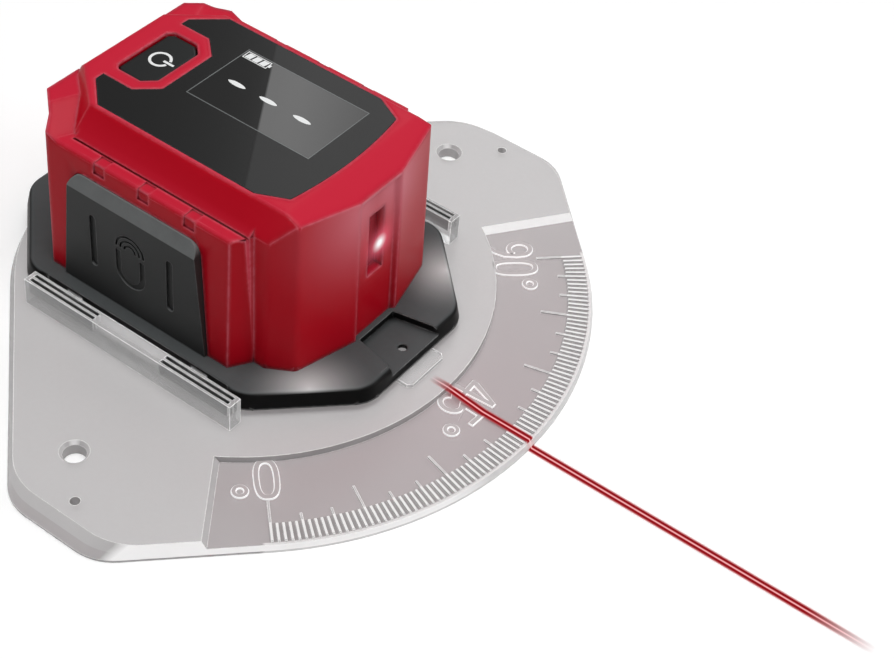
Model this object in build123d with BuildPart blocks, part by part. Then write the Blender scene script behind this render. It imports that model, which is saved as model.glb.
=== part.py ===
from build123d import *
import math
import os

# A digital laser level that turns on a clear protractor plate.
# Millimetres, +Z up. The origin is the centre of the degree marks on the underside of the plate,
# +X runs along the 45 degree mark, where the laser line goes, and +Y to the 90 degree side.

# General fits and sheets
turn_gap = 0.3          # between the plate and what turns on it
slide_gap = 0.3         # round the button
snap_gap = 0.15         # between pieces that clip or glue together
screw_gap = 0.05        # round a screw in its hole
wall = 2.2              # housing wall
far = 100.0             # reach of a cut that runs out of the piece

# Protractor plate
plate_t = 3.5
plate_half_y = 82.2
rim_r = plate_half_y - 1.2
back_arc_r = plate_half_y - 30.2
plate_corner_r = 12.0
flat_edge_z = 0.6       # height of the upright edge below the bevel
flat_bevel = 3.5        # lean of the flat ends
edge_bevel = 1.2        # lean of all the other edges
top_corner_r = 15.0
scale_half_angle = 45
band_half_angle = 55
band_inner_r = rim_r - 22.6
band_wall_run = 1.1     # lean of the walls at both ends of the band
band_z = 1.8
mark_outer_r = rim_r - 1
mark_w = 0.5
mark_h = 0.4
mark_lengths = {1: 4.8, 5: 6.8, 15: 11.0}
wall_hole_x = 11.0
wall_hole_y = plate_half_y - 16.9
wall_hole_r = 2.5
wall_sink_r = 3.2
pin_hole_x = 20.4
pin_hole_y = plate_half_y - 7.4
pin_hole_r = 1.1

# Pivot of the cradle on the plate
recess_r = 33.0
recess_z = 2.3
stud_r = 5.0
stud_top_z = 5.6
stop_r = 24.5
stop_w = 3.0
stop_half_angle = 2.0
stop_slack = 0.8        # angle left beyond the end of the scale
groove_z = 1.1
washer_r = 8.5
washer_t = 0.6
pivot_head_r = 2.8
pivot_head_h = 1.6
pivot_shank_r = 1.5
pivot_depth = 3.4

# Cradle
arm_z = plate_t + turn_gap
cradle_top_z = 6.1
hub_web_z = stud_top_z - turn_gap
hub_recess_r = 9.0
arm_back_x = -27.5
arm_front_x = 29.0
fence_front_x = 31.5
fence_inner_y = 37.2
fence_t = 3.4
fence_top_z = 10.8
fence_slot_w = 0.9
fence_slot_depth = 3.5
fence_end_wall = 1.0
fence_core_x = 2.0
fence_core_half = 9.6
tab_half_y = 6.3
tab_end_x = 53.0
tab_cut = 1.0
tab_t = 1.0
nib_x = 18.0
nib_w = 4.0
nib_reach = 1.0
nib_z = 6.9
nib_h = 1.2

# Base shell
base_z = 5.3
base_top_z = 9.4
base_front_x = 49.8
base_back_x = -51.8
base_half_y = 36.3
base_front_sum = 66.4   # the cut corners lie on this line x + y
base_back_sum = 67.8    # and at the back on this line y - x
base_corner_r = 8.0
base_rim = 2.0
base_edge_r = 1.2
base_draft = 12.0
side_step = 1.4
side_step_half_x = 26.0
tray_z = 7.9
tray_inset = 3.0
dome_r = 11.0
dome_z = 9.6
washer_room_r = 9.3
washer_room_z = 8.4
rib_w = 1.2
pocket_x = 38.4
pocket_z = 7.3
pocket_half_in = 6.0
pocket_half_out = 8.5
pocket_hole_x = 45.8
pocket_hole_r = 1.1
post_x = 21.0
post_y = 20.0
post_r = 2.4

# Housing shell
draft = 1.5
roof_z = 50.2
main_outline = [(-36.0, 21.5), (-30.0, 26.2), (28.5, 26.2), (34.3, 22.6), (38.2, 7.0)]
main_corner_r = 2.0
deck_y = 21.5           # edge of the flat roof, each side
deck_front_x = 29.2
deck_back_x = -33.8
deck_cut = [(-32.0, 14.2), (-23.6, 21.5)]
side_fall = (2.9, 5.0)  # run and drop of the bevels
front_fall = (7.8, 2.2)
back_fall = (2.7, 2.7)
shoulder_outline = [
    (-36.3, 12.0),
    (-36.3, 21.6),
    (-31.2, 26.2),
    (-28.0, 31.2),
    (22.6, 31.2),
    (25.6, 26.4),
    (25.6, 12.0),
]
shoulder_draft = 2.5
shoulder_z = 43.6
shoulder_edge_r = 0.8
roof_edge_r = 0.8
rear_top_z = 47.4
ramp_foot = (-24.9, 25.2)
ramp_turn = 24.0
ramp_run = 7.6
foot_y = 26.2           # strip along the foot of the deck
foot_w = 1.8
foot_h = 1.6
foot_half_x = 24.0
groove_w = 0.6
groove_depth = 0.5
notch_xs = [-13.9, -1.6, 11.0]
notch_w = 3.0
notch_depth = 0.3
notch_reach = 2.5
notch_drop = 2.8
channel_half = 7.0
channel_depth = 1.0
channel_top_z = 47.2
slot_half = 2.6
slot_z = (24.5, 41.0)
frame_x = 33.0
frame_half = 6.5
frame_z = (20.0, 45.0)
lens_room_depth = 1.6
lens_room_half = 4.3
lens_room_z = (22.8, 42.7)
column_r = 3.4
column_top_z = 26.0
column_places = [(31.0, 18.5), (-31.0, 19.5)]
case_boss_r = 4.0
case_head_r = 2.3
case_head_z = 7.7
case_head_h = 1.5
case_shank_r = 1.3
case_screw_top_z = 22.0

# Side pads and their magnets
pad_floor_y = 28.9
pad_face_y = 32.0
pad_foot_x = (-23.5, 17.0)
pad_head_x = (-21.3, 14.3)
pad_head_z = 35.8
pad_bevel = (1.8, 2.8)
pad_corner_r = 3.0
pad_backing = 3.0
pad_groove_xs = [-14.3, 7.4]
pad_groove_z = (17.0, 31.2)
pad_groove_w = 1.8
pad_groove_depth = 0.6
sign_x = -3.7
sign_z = 20.9           # centre of the magnet's bow
sign_r = 4.1
sign_bar = 1.4
sign_arm = 5.0
sign_arc_z = 27.0
sign_arc_rs = [4.1, 2.95, 1.8]
sign_arc_w = 0.55
sign_depth = 0.4
magnet_r = 4.9
magnet_t = 2.0
magnet_xs = [-16.0, 9.0]
magnet_z = 23.0

# Top panel, button and screen
panel_t = 1.0
panel_outline = [
    (-15.7, 7.9),
    (-20.4, 12.4),
    (-28.5, 12.4),
    (-28.5, 14.6),
    (-22.0, 20.8),
    (20.5, 20.8),
    (27.2, 17.4),
]
panel_front_x = 28.8
button_back_x = -28.4
button_front_x = -18.7
button_half_y = 8.7
button_back_cut = 1.2
button_front_cut = 2.5
button_top_z = 49.7
button_travel = 0.6
flange_w = 1.0
flange_t = 1.0
screen_x = (-11.3, 21.7)
screen_y = (-5.1, 15.0)
screen_rim = 3.0
screen_t = 2.8
gasket_t = 0.8
gasket_w = 1.5

# Electronics
roof_in_z = roof_z - wall
board_t = 1.2
board_top_z = 42.2
board_x = (-30.0, 30.0)
board_half_y = 18.0
board_boss_r = 2.4
board_boss_places = [(-17.0, -15.4), (-17.0, 15.4), (20.0, -14.5), (27.4, 15.4)]
processor_place = (-6.0, 4.0)
processor_side = 8.0
processor_t = 1.0
tilt_place = (-14.0, -6.0)
tilt_side = 5.0
tilt_t = 1.4
switch_x = -23.6
switch_side = 6.2
switch_h = 2.8
boot_r = 6.0
boot_wall = 0.8
battery_size = (50.0, 34.0, 9.0)
battery_x = -1.0
bed_t = 0.8
deck_plate_z = 19.7
deck_plate_t = 1.5
small_head_r = 1.9
small_head_h = 1.3
small_shank_r = 1.0
small_depth = 5.0
charge_board_x = (-31.5, -15.0)
charge_board_half_y = 10.0
header_place = (-24.0, 7.0)
header_side = 5.0
header_h = 4.0
port_size = (7.4, 8.9, 3.2)
port_mouth_x = -35.0
buzzer_place = (-8.0, -15.0)
buzzer_r = 4.5
buzzer_h = 4.0

# Laser
beam_z = 33.0
barrel_r = 4.5
barrel_x = (12.0, 28.0)
diode_r = 2.8
diode_pins = 0.6
lens_r = 3.5
lens_x = (24.0, 27.5)
bracket_x = (15.0, 25.0)
bracket_half = 8.0
bracket_top_z = 38.5
bracket_foot_half = 13.0
bracket_foot_t = 1.5
lead_r = 0.8
laser_lead_x = 5.0
battery_lead_x = -29.4
battery_lead_y = 13.3

os.makedirs("parts", exist_ok=True)


def save(piece, name):
    piece.label = name
    export_step(piece, f"parts/{name}.step")


def ray(radius, degrees):
    return (radius * math.cos(math.radians(degrees)), radius * math.sin(math.radians(degrees)))


# The upright plane through the Z axis at this angle: local x runs outwards and local y up
def radial_plane(degrees):
    outward = ray(1, degrees)
    return Plane(origin=(0, 0, 0), x_dir=(outward[0], outward[1], 0), z_dir=(outward[1], -outward[0], 0))


# The upright plane at this y, seen from -Y: local x along X and local y up
def side_plane(y):
    return Plane(origin=(0, y, 0), x_dir=(1, 0, 0), z_dir=(0, -1, 0))


# A closed outline, anticlockwise, from its +Y half given from back to front
def both_sides(half):
    return [(x, -y) for x, y in half] + half[::-1]


# An outline given clockwise on the +Y side, placed on either side and turned anticlockwise
def on_side(points, side):
    return [(x, side * y) for x, y in points][::-side]


# A cutting plane through a point, falling by drop over run in the direction given in plan
def falling_plane(point, heading, run, drop):
    size = math.hypot(*heading)
    return Plane(origin=point, z_dir=(heading[0] / size * drop, heading[1] / size * drop, run))


# The plate's outline at one height, drawn in from the foot by a lean, with another for the flat ends
def plate_shape(lean, flat_lean, corner_r):
    arc_r = back_arc_r - lean
    front_r = rim_r - lean
    flat_y = plate_half_y - flat_lean
    with BuildSketch() as shape:
        with BuildLine():
            CenterArc((0, 0), arc_r, 135, 90)
            CenterArc((0, 0), front_r, -45, 90)
            for side in (-1, 1):
                Polyline(
                    ray(arc_r, 180 - 45 * side),
                    (flat_y - arc_r * math.sqrt(2), side * flat_y),
                    (front_r * math.sqrt(2) - flat_y, side * flat_y),
                    ray(front_r, 45 * side),
                )
        make_face()
        fillet([v for v in shape.vertices() if abs(abs(v.Y) - flat_y) < 0.01], corner_r)
    return shape.sketch


# Protractor plate
with BuildPart() as protractor_plate:
    with BuildSketch():
        add(plate_shape(0, 0, plate_corner_r))
    extrude(amount=flat_edge_z)
    with BuildSketch(Plane.XY.offset(flat_edge_z)):
        add(plate_shape(0, 0, plate_corner_r))
    with BuildSketch(Plane.XY.offset(plate_t)):
        add(plate_shape(edge_bevel, flat_bevel, top_corner_r))
    loft(ruled=True)
    # Lower band that carries the marks, with leaning end walls
    with BuildPart(mode=Mode.SUBTRACT):
        with BuildSketch(Plane.XY.offset(band_z)) as band:
            Circle(far)
            Circle(band_inner_r, mode=Mode.SUBTRACT)
            reach = ray(2 * far, band_half_angle)
            Polygon((0, 0), (reach[0], -reach[1]), reach, align=None, mode=Mode.INTERSECT)
        extrude(amount=plate_t)
        for side in (-1, 1):
            inward = ray(1, side * (band_half_angle - 90))
            end_wall = falling_plane((0, 0, plate_t), inward, band_wall_run, plate_t - band_z)
            split(bisect_by=end_wall, keep=Keep.TOP)
    # Degree marks
    with BuildSketch(Plane.XY.offset(band_z - 0.2)):
        for step, length in mark_lengths.items():
            scale_span = 2 * scale_half_angle
            count = scale_span // step + 1
            with PolarLocations(mark_outer_r, count, -scale_half_angle, scale_span, endpoint=True):
                Rectangle(length, mark_w, align=(Align.MAX, Align.CENTER))
    extrude(amount=mark_h + 0.2)
    # Recess, stop groove and stud for the cradle
    with BuildSketch(Plane.XY.offset(recess_z)):
        Circle(recess_r)
    extrude(amount=plate_t - recess_z, mode=Mode.SUBTRACT)
    groove_half_angle = scale_half_angle + stop_half_angle + stop_slack
    with BuildSketch(radial_plane(180 - groove_half_angle)):
        with Locations((stop_r, groove_z)):
            Rectangle(stop_w + 2 * turn_gap, recess_z, align=(Align.CENTER, Align.MIN))
    revolve(axis=Axis.Z, revolution_arc=2 * groove_half_angle, mode=Mode.SUBTRACT)
    with BuildSketch(Plane.XY.offset(recess_z)):
        Circle(stud_r)
    extrude(amount=stud_top_z - recess_z)
    with Locations((0, 0, stud_top_z)):
        Hole(pivot_shank_r + screw_gap, depth=pivot_depth + screw_gap)
    # Screw holes, countersunk, and pin holes
    with Locations((wall_hole_x, -wall_hole_y, plate_t), (wall_hole_x, wall_hole_y, plate_t)):
        CounterSinkHole(wall_hole_r, wall_sink_r)
    with Locations((pin_hole_x, -pin_hole_y, plate_t), (pin_hole_x, pin_hole_y, plate_t)):
        Hole(pin_hole_r)
save(protractor_plate.part, "protractor_plate")

# Washer and screw that keep the cradle on the stud
with BuildPart() as pivot_washer:
    with BuildSketch(Plane.XY.offset(stud_top_z)):
        Circle(washer_r)
        Circle(pivot_shank_r + screw_gap, mode=Mode.SUBTRACT)
    extrude(amount=washer_t)
save(pivot_washer.part, "pivot_washer")

pivot_head_z = stud_top_z + washer_t
with BuildPart() as pivot_screw:
    with BuildSketch(Plane.XY.offset(pivot_head_z)):
        Circle(pivot_head_r)
    extrude(amount=pivot_head_h)
    chamfer(pivot_screw.edges().group_by(Axis.Z)[-1], 0.3)
    with BuildSketch(Plane.XY.offset(pivot_head_z)):
        Circle(pivot_shank_r)
    extrude(amount=-(washer_t + pivot_depth))
    with BuildSketch(Plane.XY.offset(pivot_head_z + pivot_head_h)):
        RegularPolygon(pivot_head_r * 0.5, 6)
    extrude(amount=-pivot_head_h * 0.6, mode=Mode.SUBTRACT)
save(pivot_screw.part, "pivot_screw")

# Cradle: disc on the stud, side arms with fences, and the index tab
fence_outer_y = fence_inner_y + fence_t
with BuildPart() as cradle:
    with BuildSketch(Plane.XY.offset(recess_z + turn_gap)):
        Circle(recess_r - turn_gap - 0.1)
    extrude(amount=cradle_top_z - recess_z - turn_gap)
    with BuildSketch(Plane.XY.offset(arm_z)):
        with Locations((arm_back_x, 0)):
            Rectangle(arm_front_x - arm_back_x, 2 * fence_outer_y, align=(Align.MIN, Align.CENTER))
    extrude(amount=cradle_top_z - arm_z)
    with BuildSketch(Plane.XY.offset(arm_z)):
        tab_half = [(0, tab_half_y), (tab_end_x - tab_cut, tab_half_y), (tab_end_x, tab_half_y - tab_cut)]
        Polygon(*both_sides(tab_half), align=None)
    extrude(amount=tab_t)
    for side in (-1, 1):
        fence_align = (Align.MIN, Align.MIN if side > 0 else Align.MAX)
        with BuildSketch(Plane.XY.offset(arm_z)):
            with Locations((arm_back_x, side * fence_inner_y)):
                Rectangle(fence_front_x - arm_back_x, fence_t, align=fence_align)
        extrude(amount=fence_top_z - arm_z)
        # Two slots along each end of the fence
        slot_pitch = (fence_t - 2 * fence_slot_w) / 3 + fence_slot_w
        slot_ends = [
            (arm_back_x + fence_end_wall, fence_core_x - fence_core_half),
            (fence_core_x + fence_core_half, fence_front_x - fence_end_wall),
        ]
        with BuildSketch(Plane.XY.offset(fence_top_z)):
            for start, end in slot_ends:
                for row in (-0.5, 0.5):
                    fence_mid_y = side * (fence_inner_y + fence_t / 2)
                    with Locations(((start + end) / 2, fence_mid_y + row * slot_pitch)):
                        Rectangle(end - start, fence_slot_w)
        extrude(amount=-fence_slot_depth, mode=Mode.SUBTRACT)
        # Nibs that snap into the base
        nib_tip_y = base_half_y - side_step - nib_reach
        with BuildSketch(Plane.XY.offset(nib_z)):
            with Locations((-nib_x, side * nib_tip_y), (nib_x, side * nib_tip_y)):
                Rectangle(nib_w, fence_inner_y - nib_tip_y, align=(Align.CENTER, fence_align[1]))
        extrude(amount=nib_h)
    with BuildSketch(Plane.XY.offset(hub_web_z)):
        Circle(hub_recess_r)
    extrude(amount=cradle_top_z - hub_web_z, mode=Mode.SUBTRACT)
    with Locations((0, 0, hub_web_z)):
        Hole(stud_r + screw_gap)
    # Lug that runs in the stop groove
    with BuildSketch(radial_plane(180 - stop_half_angle)):
        with Locations((stop_r, groove_z + turn_gap + 0.1)):
            Rectangle(stop_w, recess_z, align=(Align.CENTER, Align.MIN))
    revolve(axis=Axis.Z, revolution_arc=2 * stop_half_angle)
save(cradle.part, "cradle")

# Base shell
base_half = [
    (base_back_x, base_back_sum + base_back_x),
    (base_half_y - base_back_sum, base_half_y),
    (base_front_sum - base_half_y, base_half_y),
    (base_front_x, base_front_sum - base_front_x),
]
case_places = [(x, side * y) for x, y in column_places for side in (-1, 1)]
post_places = [(x, y) for x in (-post_x, post_x) for y in (-post_y, post_y)]
with BuildPart() as base_shell:
    with BuildSketch(Plane.XY.offset(base_z)) as base_outline:
        Polygon(*both_sides(base_half), align=None)
        fillet(base_outline.vertices(), base_corner_r)
    extrude(amount=base_top_z - base_z, taper=base_draft)
    fillet(base_shell.edges().group_by(Axis.Z)[-1], base_edge_r)
    with BuildSketch(Plane.XY.offset(base_z)) as base_hollow:
        Polygon(*both_sides(base_half), align=None)
        offset(amount=-base_rim, kind=Kind.INTERSECTION, mode=Mode.REPLACE)
        fillet(base_hollow.vertices(), base_corner_r - base_rim)
    extrude(amount=cradle_top_z - base_z, mode=Mode.SUBTRACT)
    # Gaps in the rim for the cradle's arms
    with BuildSketch(Plane.XY.offset(base_z)):
        with Locations((arm_back_x - snap_gap, 0)):
            Rectangle(arm_front_x - arm_back_x + 2 * snap_gap, far, align=(Align.MIN, Align.CENTER))
    extrude(amount=cradle_top_z - base_z, mode=Mode.SUBTRACT)
    # Long sides stepped in, with slots for the nibs
    for side in (-1, 1):
        step_y = base_half_y - side_step
        with BuildSketch(Plane.XY.offset(cradle_top_z)):
            step_outline = [
                (-side_step_half_x - side_step - 1, base_half_y + 1),
                (-side_step_half_x, step_y),
                (side_step_half_x, step_y),
                (side_step_half_x + side_step + 1, base_half_y + 1),
            ]
            Polygon(*on_side(step_outline, side), align=None)
        extrude(amount=far, mode=Mode.SUBTRACT)
        with BuildSketch(Plane.XY.offset(nib_z - snap_gap)):
            with Locations((-nib_x, side * step_y), (nib_x, side * step_y)):
                Rectangle(nib_w + 2 * snap_gap, 2 * (nib_reach + snap_gap))
        extrude(amount=nib_h + 2 * snap_gap, mode=Mode.SUBTRACT)
    # Tray under the battery, with the screw bosses and the dome over the pivot
    with BuildSketch(Plane.XY.offset(tray_z)):
        Polygon(*both_sides(main_outline), align=None)
        offset(amount=-tray_inset, kind=Kind.INTERSECTION, mode=Mode.REPLACE)
        with Locations(*case_places):
            Circle(case_boss_r, mode=Mode.SUBTRACT)
        Circle(dome_r, mode=Mode.SUBTRACT)
    extrude(amount=base_top_z - tray_z, mode=Mode.SUBTRACT)
    with BuildSketch(Plane.XY.offset(tray_z)):
        Circle(dome_r)
        with Locations((battery_x - 18, 0), (battery_x + 18, 0)):
            Rectangle(rib_w, battery_size[1] - 4)
    extrude(amount=dome_z - tray_z)
    with BuildSketch(Plane.XY.offset(cradle_top_z)):
        Circle(washer_room_r)
    extrude(amount=washer_room_z - cradle_top_z, mode=Mode.SUBTRACT)
    # Holes for the housing screws
    with Locations(Location((0, 0, cradle_top_z), (180, 0, 0))):
        with Locations(*case_places):
            CounterBoreHole(case_shank_r + 2 * screw_gap, case_head_r + 0.2, case_head_z - cradle_top_z)
    # Posts that carry the chassis plate
    with BuildSketch(Plane.XY.offset(tray_z)):
        with Locations(*post_places):
            Circle(post_r)
    extrude(amount=deck_plate_z - tray_z)
    with BuildSketch(Plane.XY.offset(deck_plate_z)):
        with Locations(*post_places):
            Circle(small_shank_r + screw_gap)
    extrude(amount=-small_depth - 1, mode=Mode.SUBTRACT)
    # Pocket and pin hole at the front
    with BuildSketch(Plane.XY.offset(pocket_z)):
        pocket_half = [(pocket_x, pocket_half_in), (base_front_x, pocket_half_out), (far, pocket_half_out)]
        Polygon(*both_sides(pocket_half), align=None)
    extrude(amount=far, mode=Mode.SUBTRACT)
    with Locations((pocket_hole_x, 0, pocket_z)):
        Hole(pocket_hole_r)
save(base_shell.part, "base_shell")


# One shoulder of the housing: upright at the back, leaning at the side, with the ramp up to the rear corner
def shoulder(side, inset):
    lean_run = math.tan(math.radians(shoulder_draft))
    with BuildPart() as block:
        with BuildSketch(Plane.XY.offset(base_top_z)):
            Polygon(*on_side(shoulder_outline, side), align=None)
            if inset:
                offset(amount=-inset, kind=Kind.INTERSECTION, mode=Mode.REPLACE)
        extrude(amount=rear_top_z - inset - base_top_z)
        for start, end in zip(shoulder_outline[3:5], shoulder_outline[4:6]):
            heading = (start[1] - end[1], side * (end[0] - start[0]))
            lean = falling_plane((start[0], side * start[1], base_top_z), heading, lean_run, 1)
            split(bisect_by=lean.offset(-inset), keep=Keep.BOTTOM)
        ramp_heading = side * (180 + ramp_turn)
        ramp_plane = Plane(
            origin=(ramp_foot[0], side * ramp_foot[1], shoulder_z - inset),
            x_dir=(*ray(1, ramp_heading), 0),
            z_dir=(*ray(1, ramp_heading - 90), 0),
        )
        with BuildSketch(ramp_plane):
            rise = rear_top_z - shoulder_z
            Polygon((-far, 0), (0, 0), (ramp_run, rise), (ramp_run, far), (-far, far), align=None)
        extrude(amount=far, both=True, mode=Mode.SUBTRACT)
        if not inset:
            top_edges = block.faces().filter_by(lambda f: abs(f.center().Z - shoulder_z) < 0.01).edges()
            fillet(top_edges.sort_by(lambda e: -abs(e.center().Y))[0], shoulder_edge_r)
    return block.part


# The housing's outer form, or the hollow that its wall leaves
def housing_form(inset):
    with BuildPart() as form:
        with BuildSketch(Plane.XY.offset(base_top_z)) as outline:
            Polygon(*both_sides(main_outline), align=None)
            if inset:
                offset(amount=-inset, kind=Kind.INTERSECTION, mode=Mode.REPLACE)
            else:
                fillet(outline.vertices(), main_corner_r)
        extrude(amount=roof_z - inset - base_top_z, taper=draft)
        slopes = [
            falling_plane((deck_front_x, 0, roof_z), (1, 0), *front_fall),
            falling_plane((deck_back_x, 0, roof_z), (-1, 0), *back_fall),
        ]
        cut_heading = (deck_cut[0][1] - deck_cut[1][1], deck_cut[1][0] - deck_cut[0][0])
        for side in (-1, 1):
            slopes.append(falling_plane((0, side * deck_y, roof_z), (0, side), *side_fall))
            cut_point = (deck_cut[0][0], side * deck_cut[0][1], roof_z)
            slopes.append(falling_plane(cut_point, (cut_heading[0], side * cut_heading[1]), *side_fall))
        for slope in slopes:
            split(bisect_by=slope.offset(-inset), keep=Keep.BOTTOM)
        if not inset:
            fillet(form.edges().group_by(Axis.Z)[-1], roof_edge_r)
        for side in (-1, 1):
            add(shoulder(side, inset))
    return form.part


# The top panel's outline in plan, grown by a clearance
def panel_shape(grow):
    with BuildSketch() as shape:
        with BuildLine():
            front_y = panel_outline[-1][1]
            Polyline(*[(x, -y) for x, y in panel_outline])
            ThreePointArc((panel_outline[-1][0], -front_y), (panel_front_x, 0), panel_outline[-1])
            Polyline(*panel_outline)
            Line(panel_outline[0], (panel_outline[0][0], -panel_outline[0][1]))
        make_face()
        if grow:
            offset(amount=grow, kind=Kind.INTERSECTION, mode=Mode.REPLACE)
    return shape.sketch


# The button's outline in plan, grown by a clearance or a flange
def button_shape(grow):
    button_half = [
        (button_back_x, button_half_y - button_back_cut),
        (button_back_x + button_back_cut, button_half_y),
        (button_front_x - button_front_cut, button_half_y),
        (button_front_x, button_half_y - button_front_cut),
    ]
    with BuildSketch() as shape:
        Polygon(*both_sides(button_half), align=None)
        if grow:
            offset(amount=grow, kind=Kind.INTERSECTION, mode=Mode.REPLACE)
    return shape.sketch


# The side pad's outline, upright, grown by a clearance
def pad_shape(grow):
    back_lean = (pad_head_x[0] - pad_foot_x[0]) / (pad_head_z - base_top_z)
    front_lean = (pad_head_x[1] - pad_foot_x[1]) / (pad_head_z - base_top_z)
    top = pad_head_z + pad_bevel[1]
    rise = top - base_top_z
    with BuildSketch() as shape:
        Polygon(
            (pad_foot_x[0], base_top_z + snap_gap),
            (pad_foot_x[1], base_top_z + snap_gap),
            (pad_foot_x[1] + front_lean * rise, top),
            (pad_foot_x[0] + back_lean * rise, top),
            align=None,
        )
        fillet(shape.vertices().group_by(Axis.Y)[-1], pad_corner_r)
        if grow:
            offset(amount=grow, mode=Mode.REPLACE)
    return shape.sketch


# Housing shell
port_mid_z = deck_plate_z + deck_plate_t + board_t + port_size[2] / 2
front_x = main_outline[-1][0]
with BuildPart() as housing_shell:
    add(housing_form(0))
    add(housing_form(wall), mode=Mode.SUBTRACT)
    for side in (-1, 1):
        # Strip and groove between the deck and the shoulder
        with BuildSketch(Plane.YZ.offset(-foot_half_x)):
            strip_top = (side * (foot_y - foot_w), shoulder_z + foot_h)
            Polygon((side * foot_y, shoulder_z), strip_top, (strip_top[0], shoulder_z), align=None)
        extrude(amount=2 * foot_half_x)
        with BuildSketch(Plane.XY.offset(shoulder_z)):
            with Locations((0, side * (foot_y + groove_w / 2))):
                Rectangle(2 * foot_half_x, groove_w)
        extrude(amount=-groove_depth, mode=Mode.SUBTRACT)
        # Shallow alignment notches over the shoulder's outer edge
        shoulder_lean = (shoulder_z - base_top_z) * math.tan(math.radians(shoulder_draft))
        notch_y = shoulder_outline[3][1] - shoulder_lean - notch_depth
        notch_floor_z = shoulder_z - notch_depth
        for notch_x in notch_xs:
            with BuildSketch(Plane.YZ.offset(notch_x - notch_w / 2)):
                Polygon(
                    (side * (notch_y - notch_reach), notch_floor_z),
                    (side * notch_y, notch_floor_z),
                    (side * notch_y, shoulder_z - notch_drop),
                    (side * far, shoulder_z - notch_drop),
                    (side * far, shoulder_z + notch_depth),
                    (side * (notch_y - notch_reach), shoulder_z + notch_depth),
                    align=None,
                )
            extrude(amount=notch_w, dir=(1, 0, 0), mode=Mode.SUBTRACT)
        # Backing of the side pad, the pad's pocket and the magnet pockets
        with BuildSketch(Plane.XY.offset(base_top_z)):
            backing_x = (pad_foot_x[0] - 1.5, pad_foot_x[1] + 2)
            with Locations((sum(backing_x) / 2, side * (pad_floor_y - pad_backing / 2 + 0.2))):
                Rectangle(backing_x[1] - backing_x[0], pad_backing + 0.4)
        extrude(amount=pad_head_z + pad_bevel[1] + 0.8 - base_top_z)
        pad_plane = side_plane(side * pad_floor_y)
        with BuildSketch(pad_plane):
            add(pad_shape(snap_gap))
        extrude(amount=-side * 10, mode=Mode.SUBTRACT)
        with BuildSketch(pad_plane):
            with Locations(*[(x, magnet_z) for x in magnet_xs]):
                Circle(magnet_r + snap_gap / 2)
        extrude(amount=side * (magnet_t + snap_gap), mode=Mode.SUBTRACT)
    # Front channel with sloped walls, following the draft of the front
    with BuildSketch(Plane.XY.offset(base_top_z)):
        channel_in = (front_x - channel_depth, channel_half - channel_depth)
        channel_out = (front_x + 10, channel_half + 10)
        Polygon(*both_sides([channel_in, channel_out]), align=None)
    lean = (-math.sin(math.radians(draft)), 0, math.cos(math.radians(draft)))
    extrude(amount=channel_top_z - base_top_z, dir=lean, mode=Mode.SUBTRACT)
    # Frame behind the window, its room for the window pane, and the slot
    with BuildSketch(Plane.YZ.offset(frame_x)):
        with Locations((0, sum(frame_z) / 2)):
            Rectangle(2 * frame_half, frame_z[1] - frame_z[0])
    extrude(amount=front_x - channel_depth - 1 - frame_x)
    with BuildSketch(Plane.YZ.offset(frame_x)):
        with Locations((0, sum(lens_room_z) / 2)):
            Rectangle(2 * lens_room_half, lens_room_z[1] - lens_room_z[0])
    extrude(amount=lens_room_depth, mode=Mode.SUBTRACT)
    with BuildSketch(Plane.YZ.offset(frame_x)):
        with Locations((0, sum(slot_z) / 2)):
            Rectangle(2 * slot_half, slot_z[1] - slot_z[0])
    extrude(amount=far, mode=Mode.SUBTRACT)
    # Columns for the housing screws
    with BuildSketch(Plane.XY.offset(base_top_z)):
        with Locations(*case_places):
            Circle(column_r)
    extrude(amount=column_top_z - base_top_z)
    with BuildSketch(Plane.XY.offset(base_top_z)):
        with Locations(*case_places):
            Circle(case_shank_r + screw_gap)
    extrude(amount=case_screw_top_z + 1 - base_top_z, mode=Mode.SUBTRACT)
    # Bosses under the roof for the main board
    with BuildSketch(Plane.XY.offset(board_top_z)):
        with Locations(*board_boss_places):
            Circle(board_boss_r)
            Circle(small_shank_r + screw_gap, mode=Mode.SUBTRACT)
    extrude(amount=roof_in_z - board_top_z)
    # Seat of the top panel, openings for the screen and the button
    with BuildSketch(Plane.XY.offset(roof_z - panel_t)):
        add(panel_shape(snap_gap))
    extrude(amount=far, mode=Mode.SUBTRACT)
    with BuildSketch(Plane.XY.offset(board_top_z)):
        with Locations((sum(screen_x) / 2, sum(screen_y) / 2)):
            Rectangle(screen_x[1] - screen_x[0] + 2, screen_y[1] - screen_y[0] + 2)
        add(button_shape(slide_gap))
    extrude(amount=far, mode=Mode.SUBTRACT)
    # Opening for the charging socket
    with BuildSketch(Plane.YZ.offset(-far)):
        with Locations((0, port_mid_z)):
            SlotOverall(port_size[1] + 2 * slide_gap, port_size[2] + 2 * slide_gap)
    extrude(amount=far + main_outline[0][0] + wall + 1, mode=Mode.SUBTRACT)
save(housing_shell.part, "housing_shell")

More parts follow.
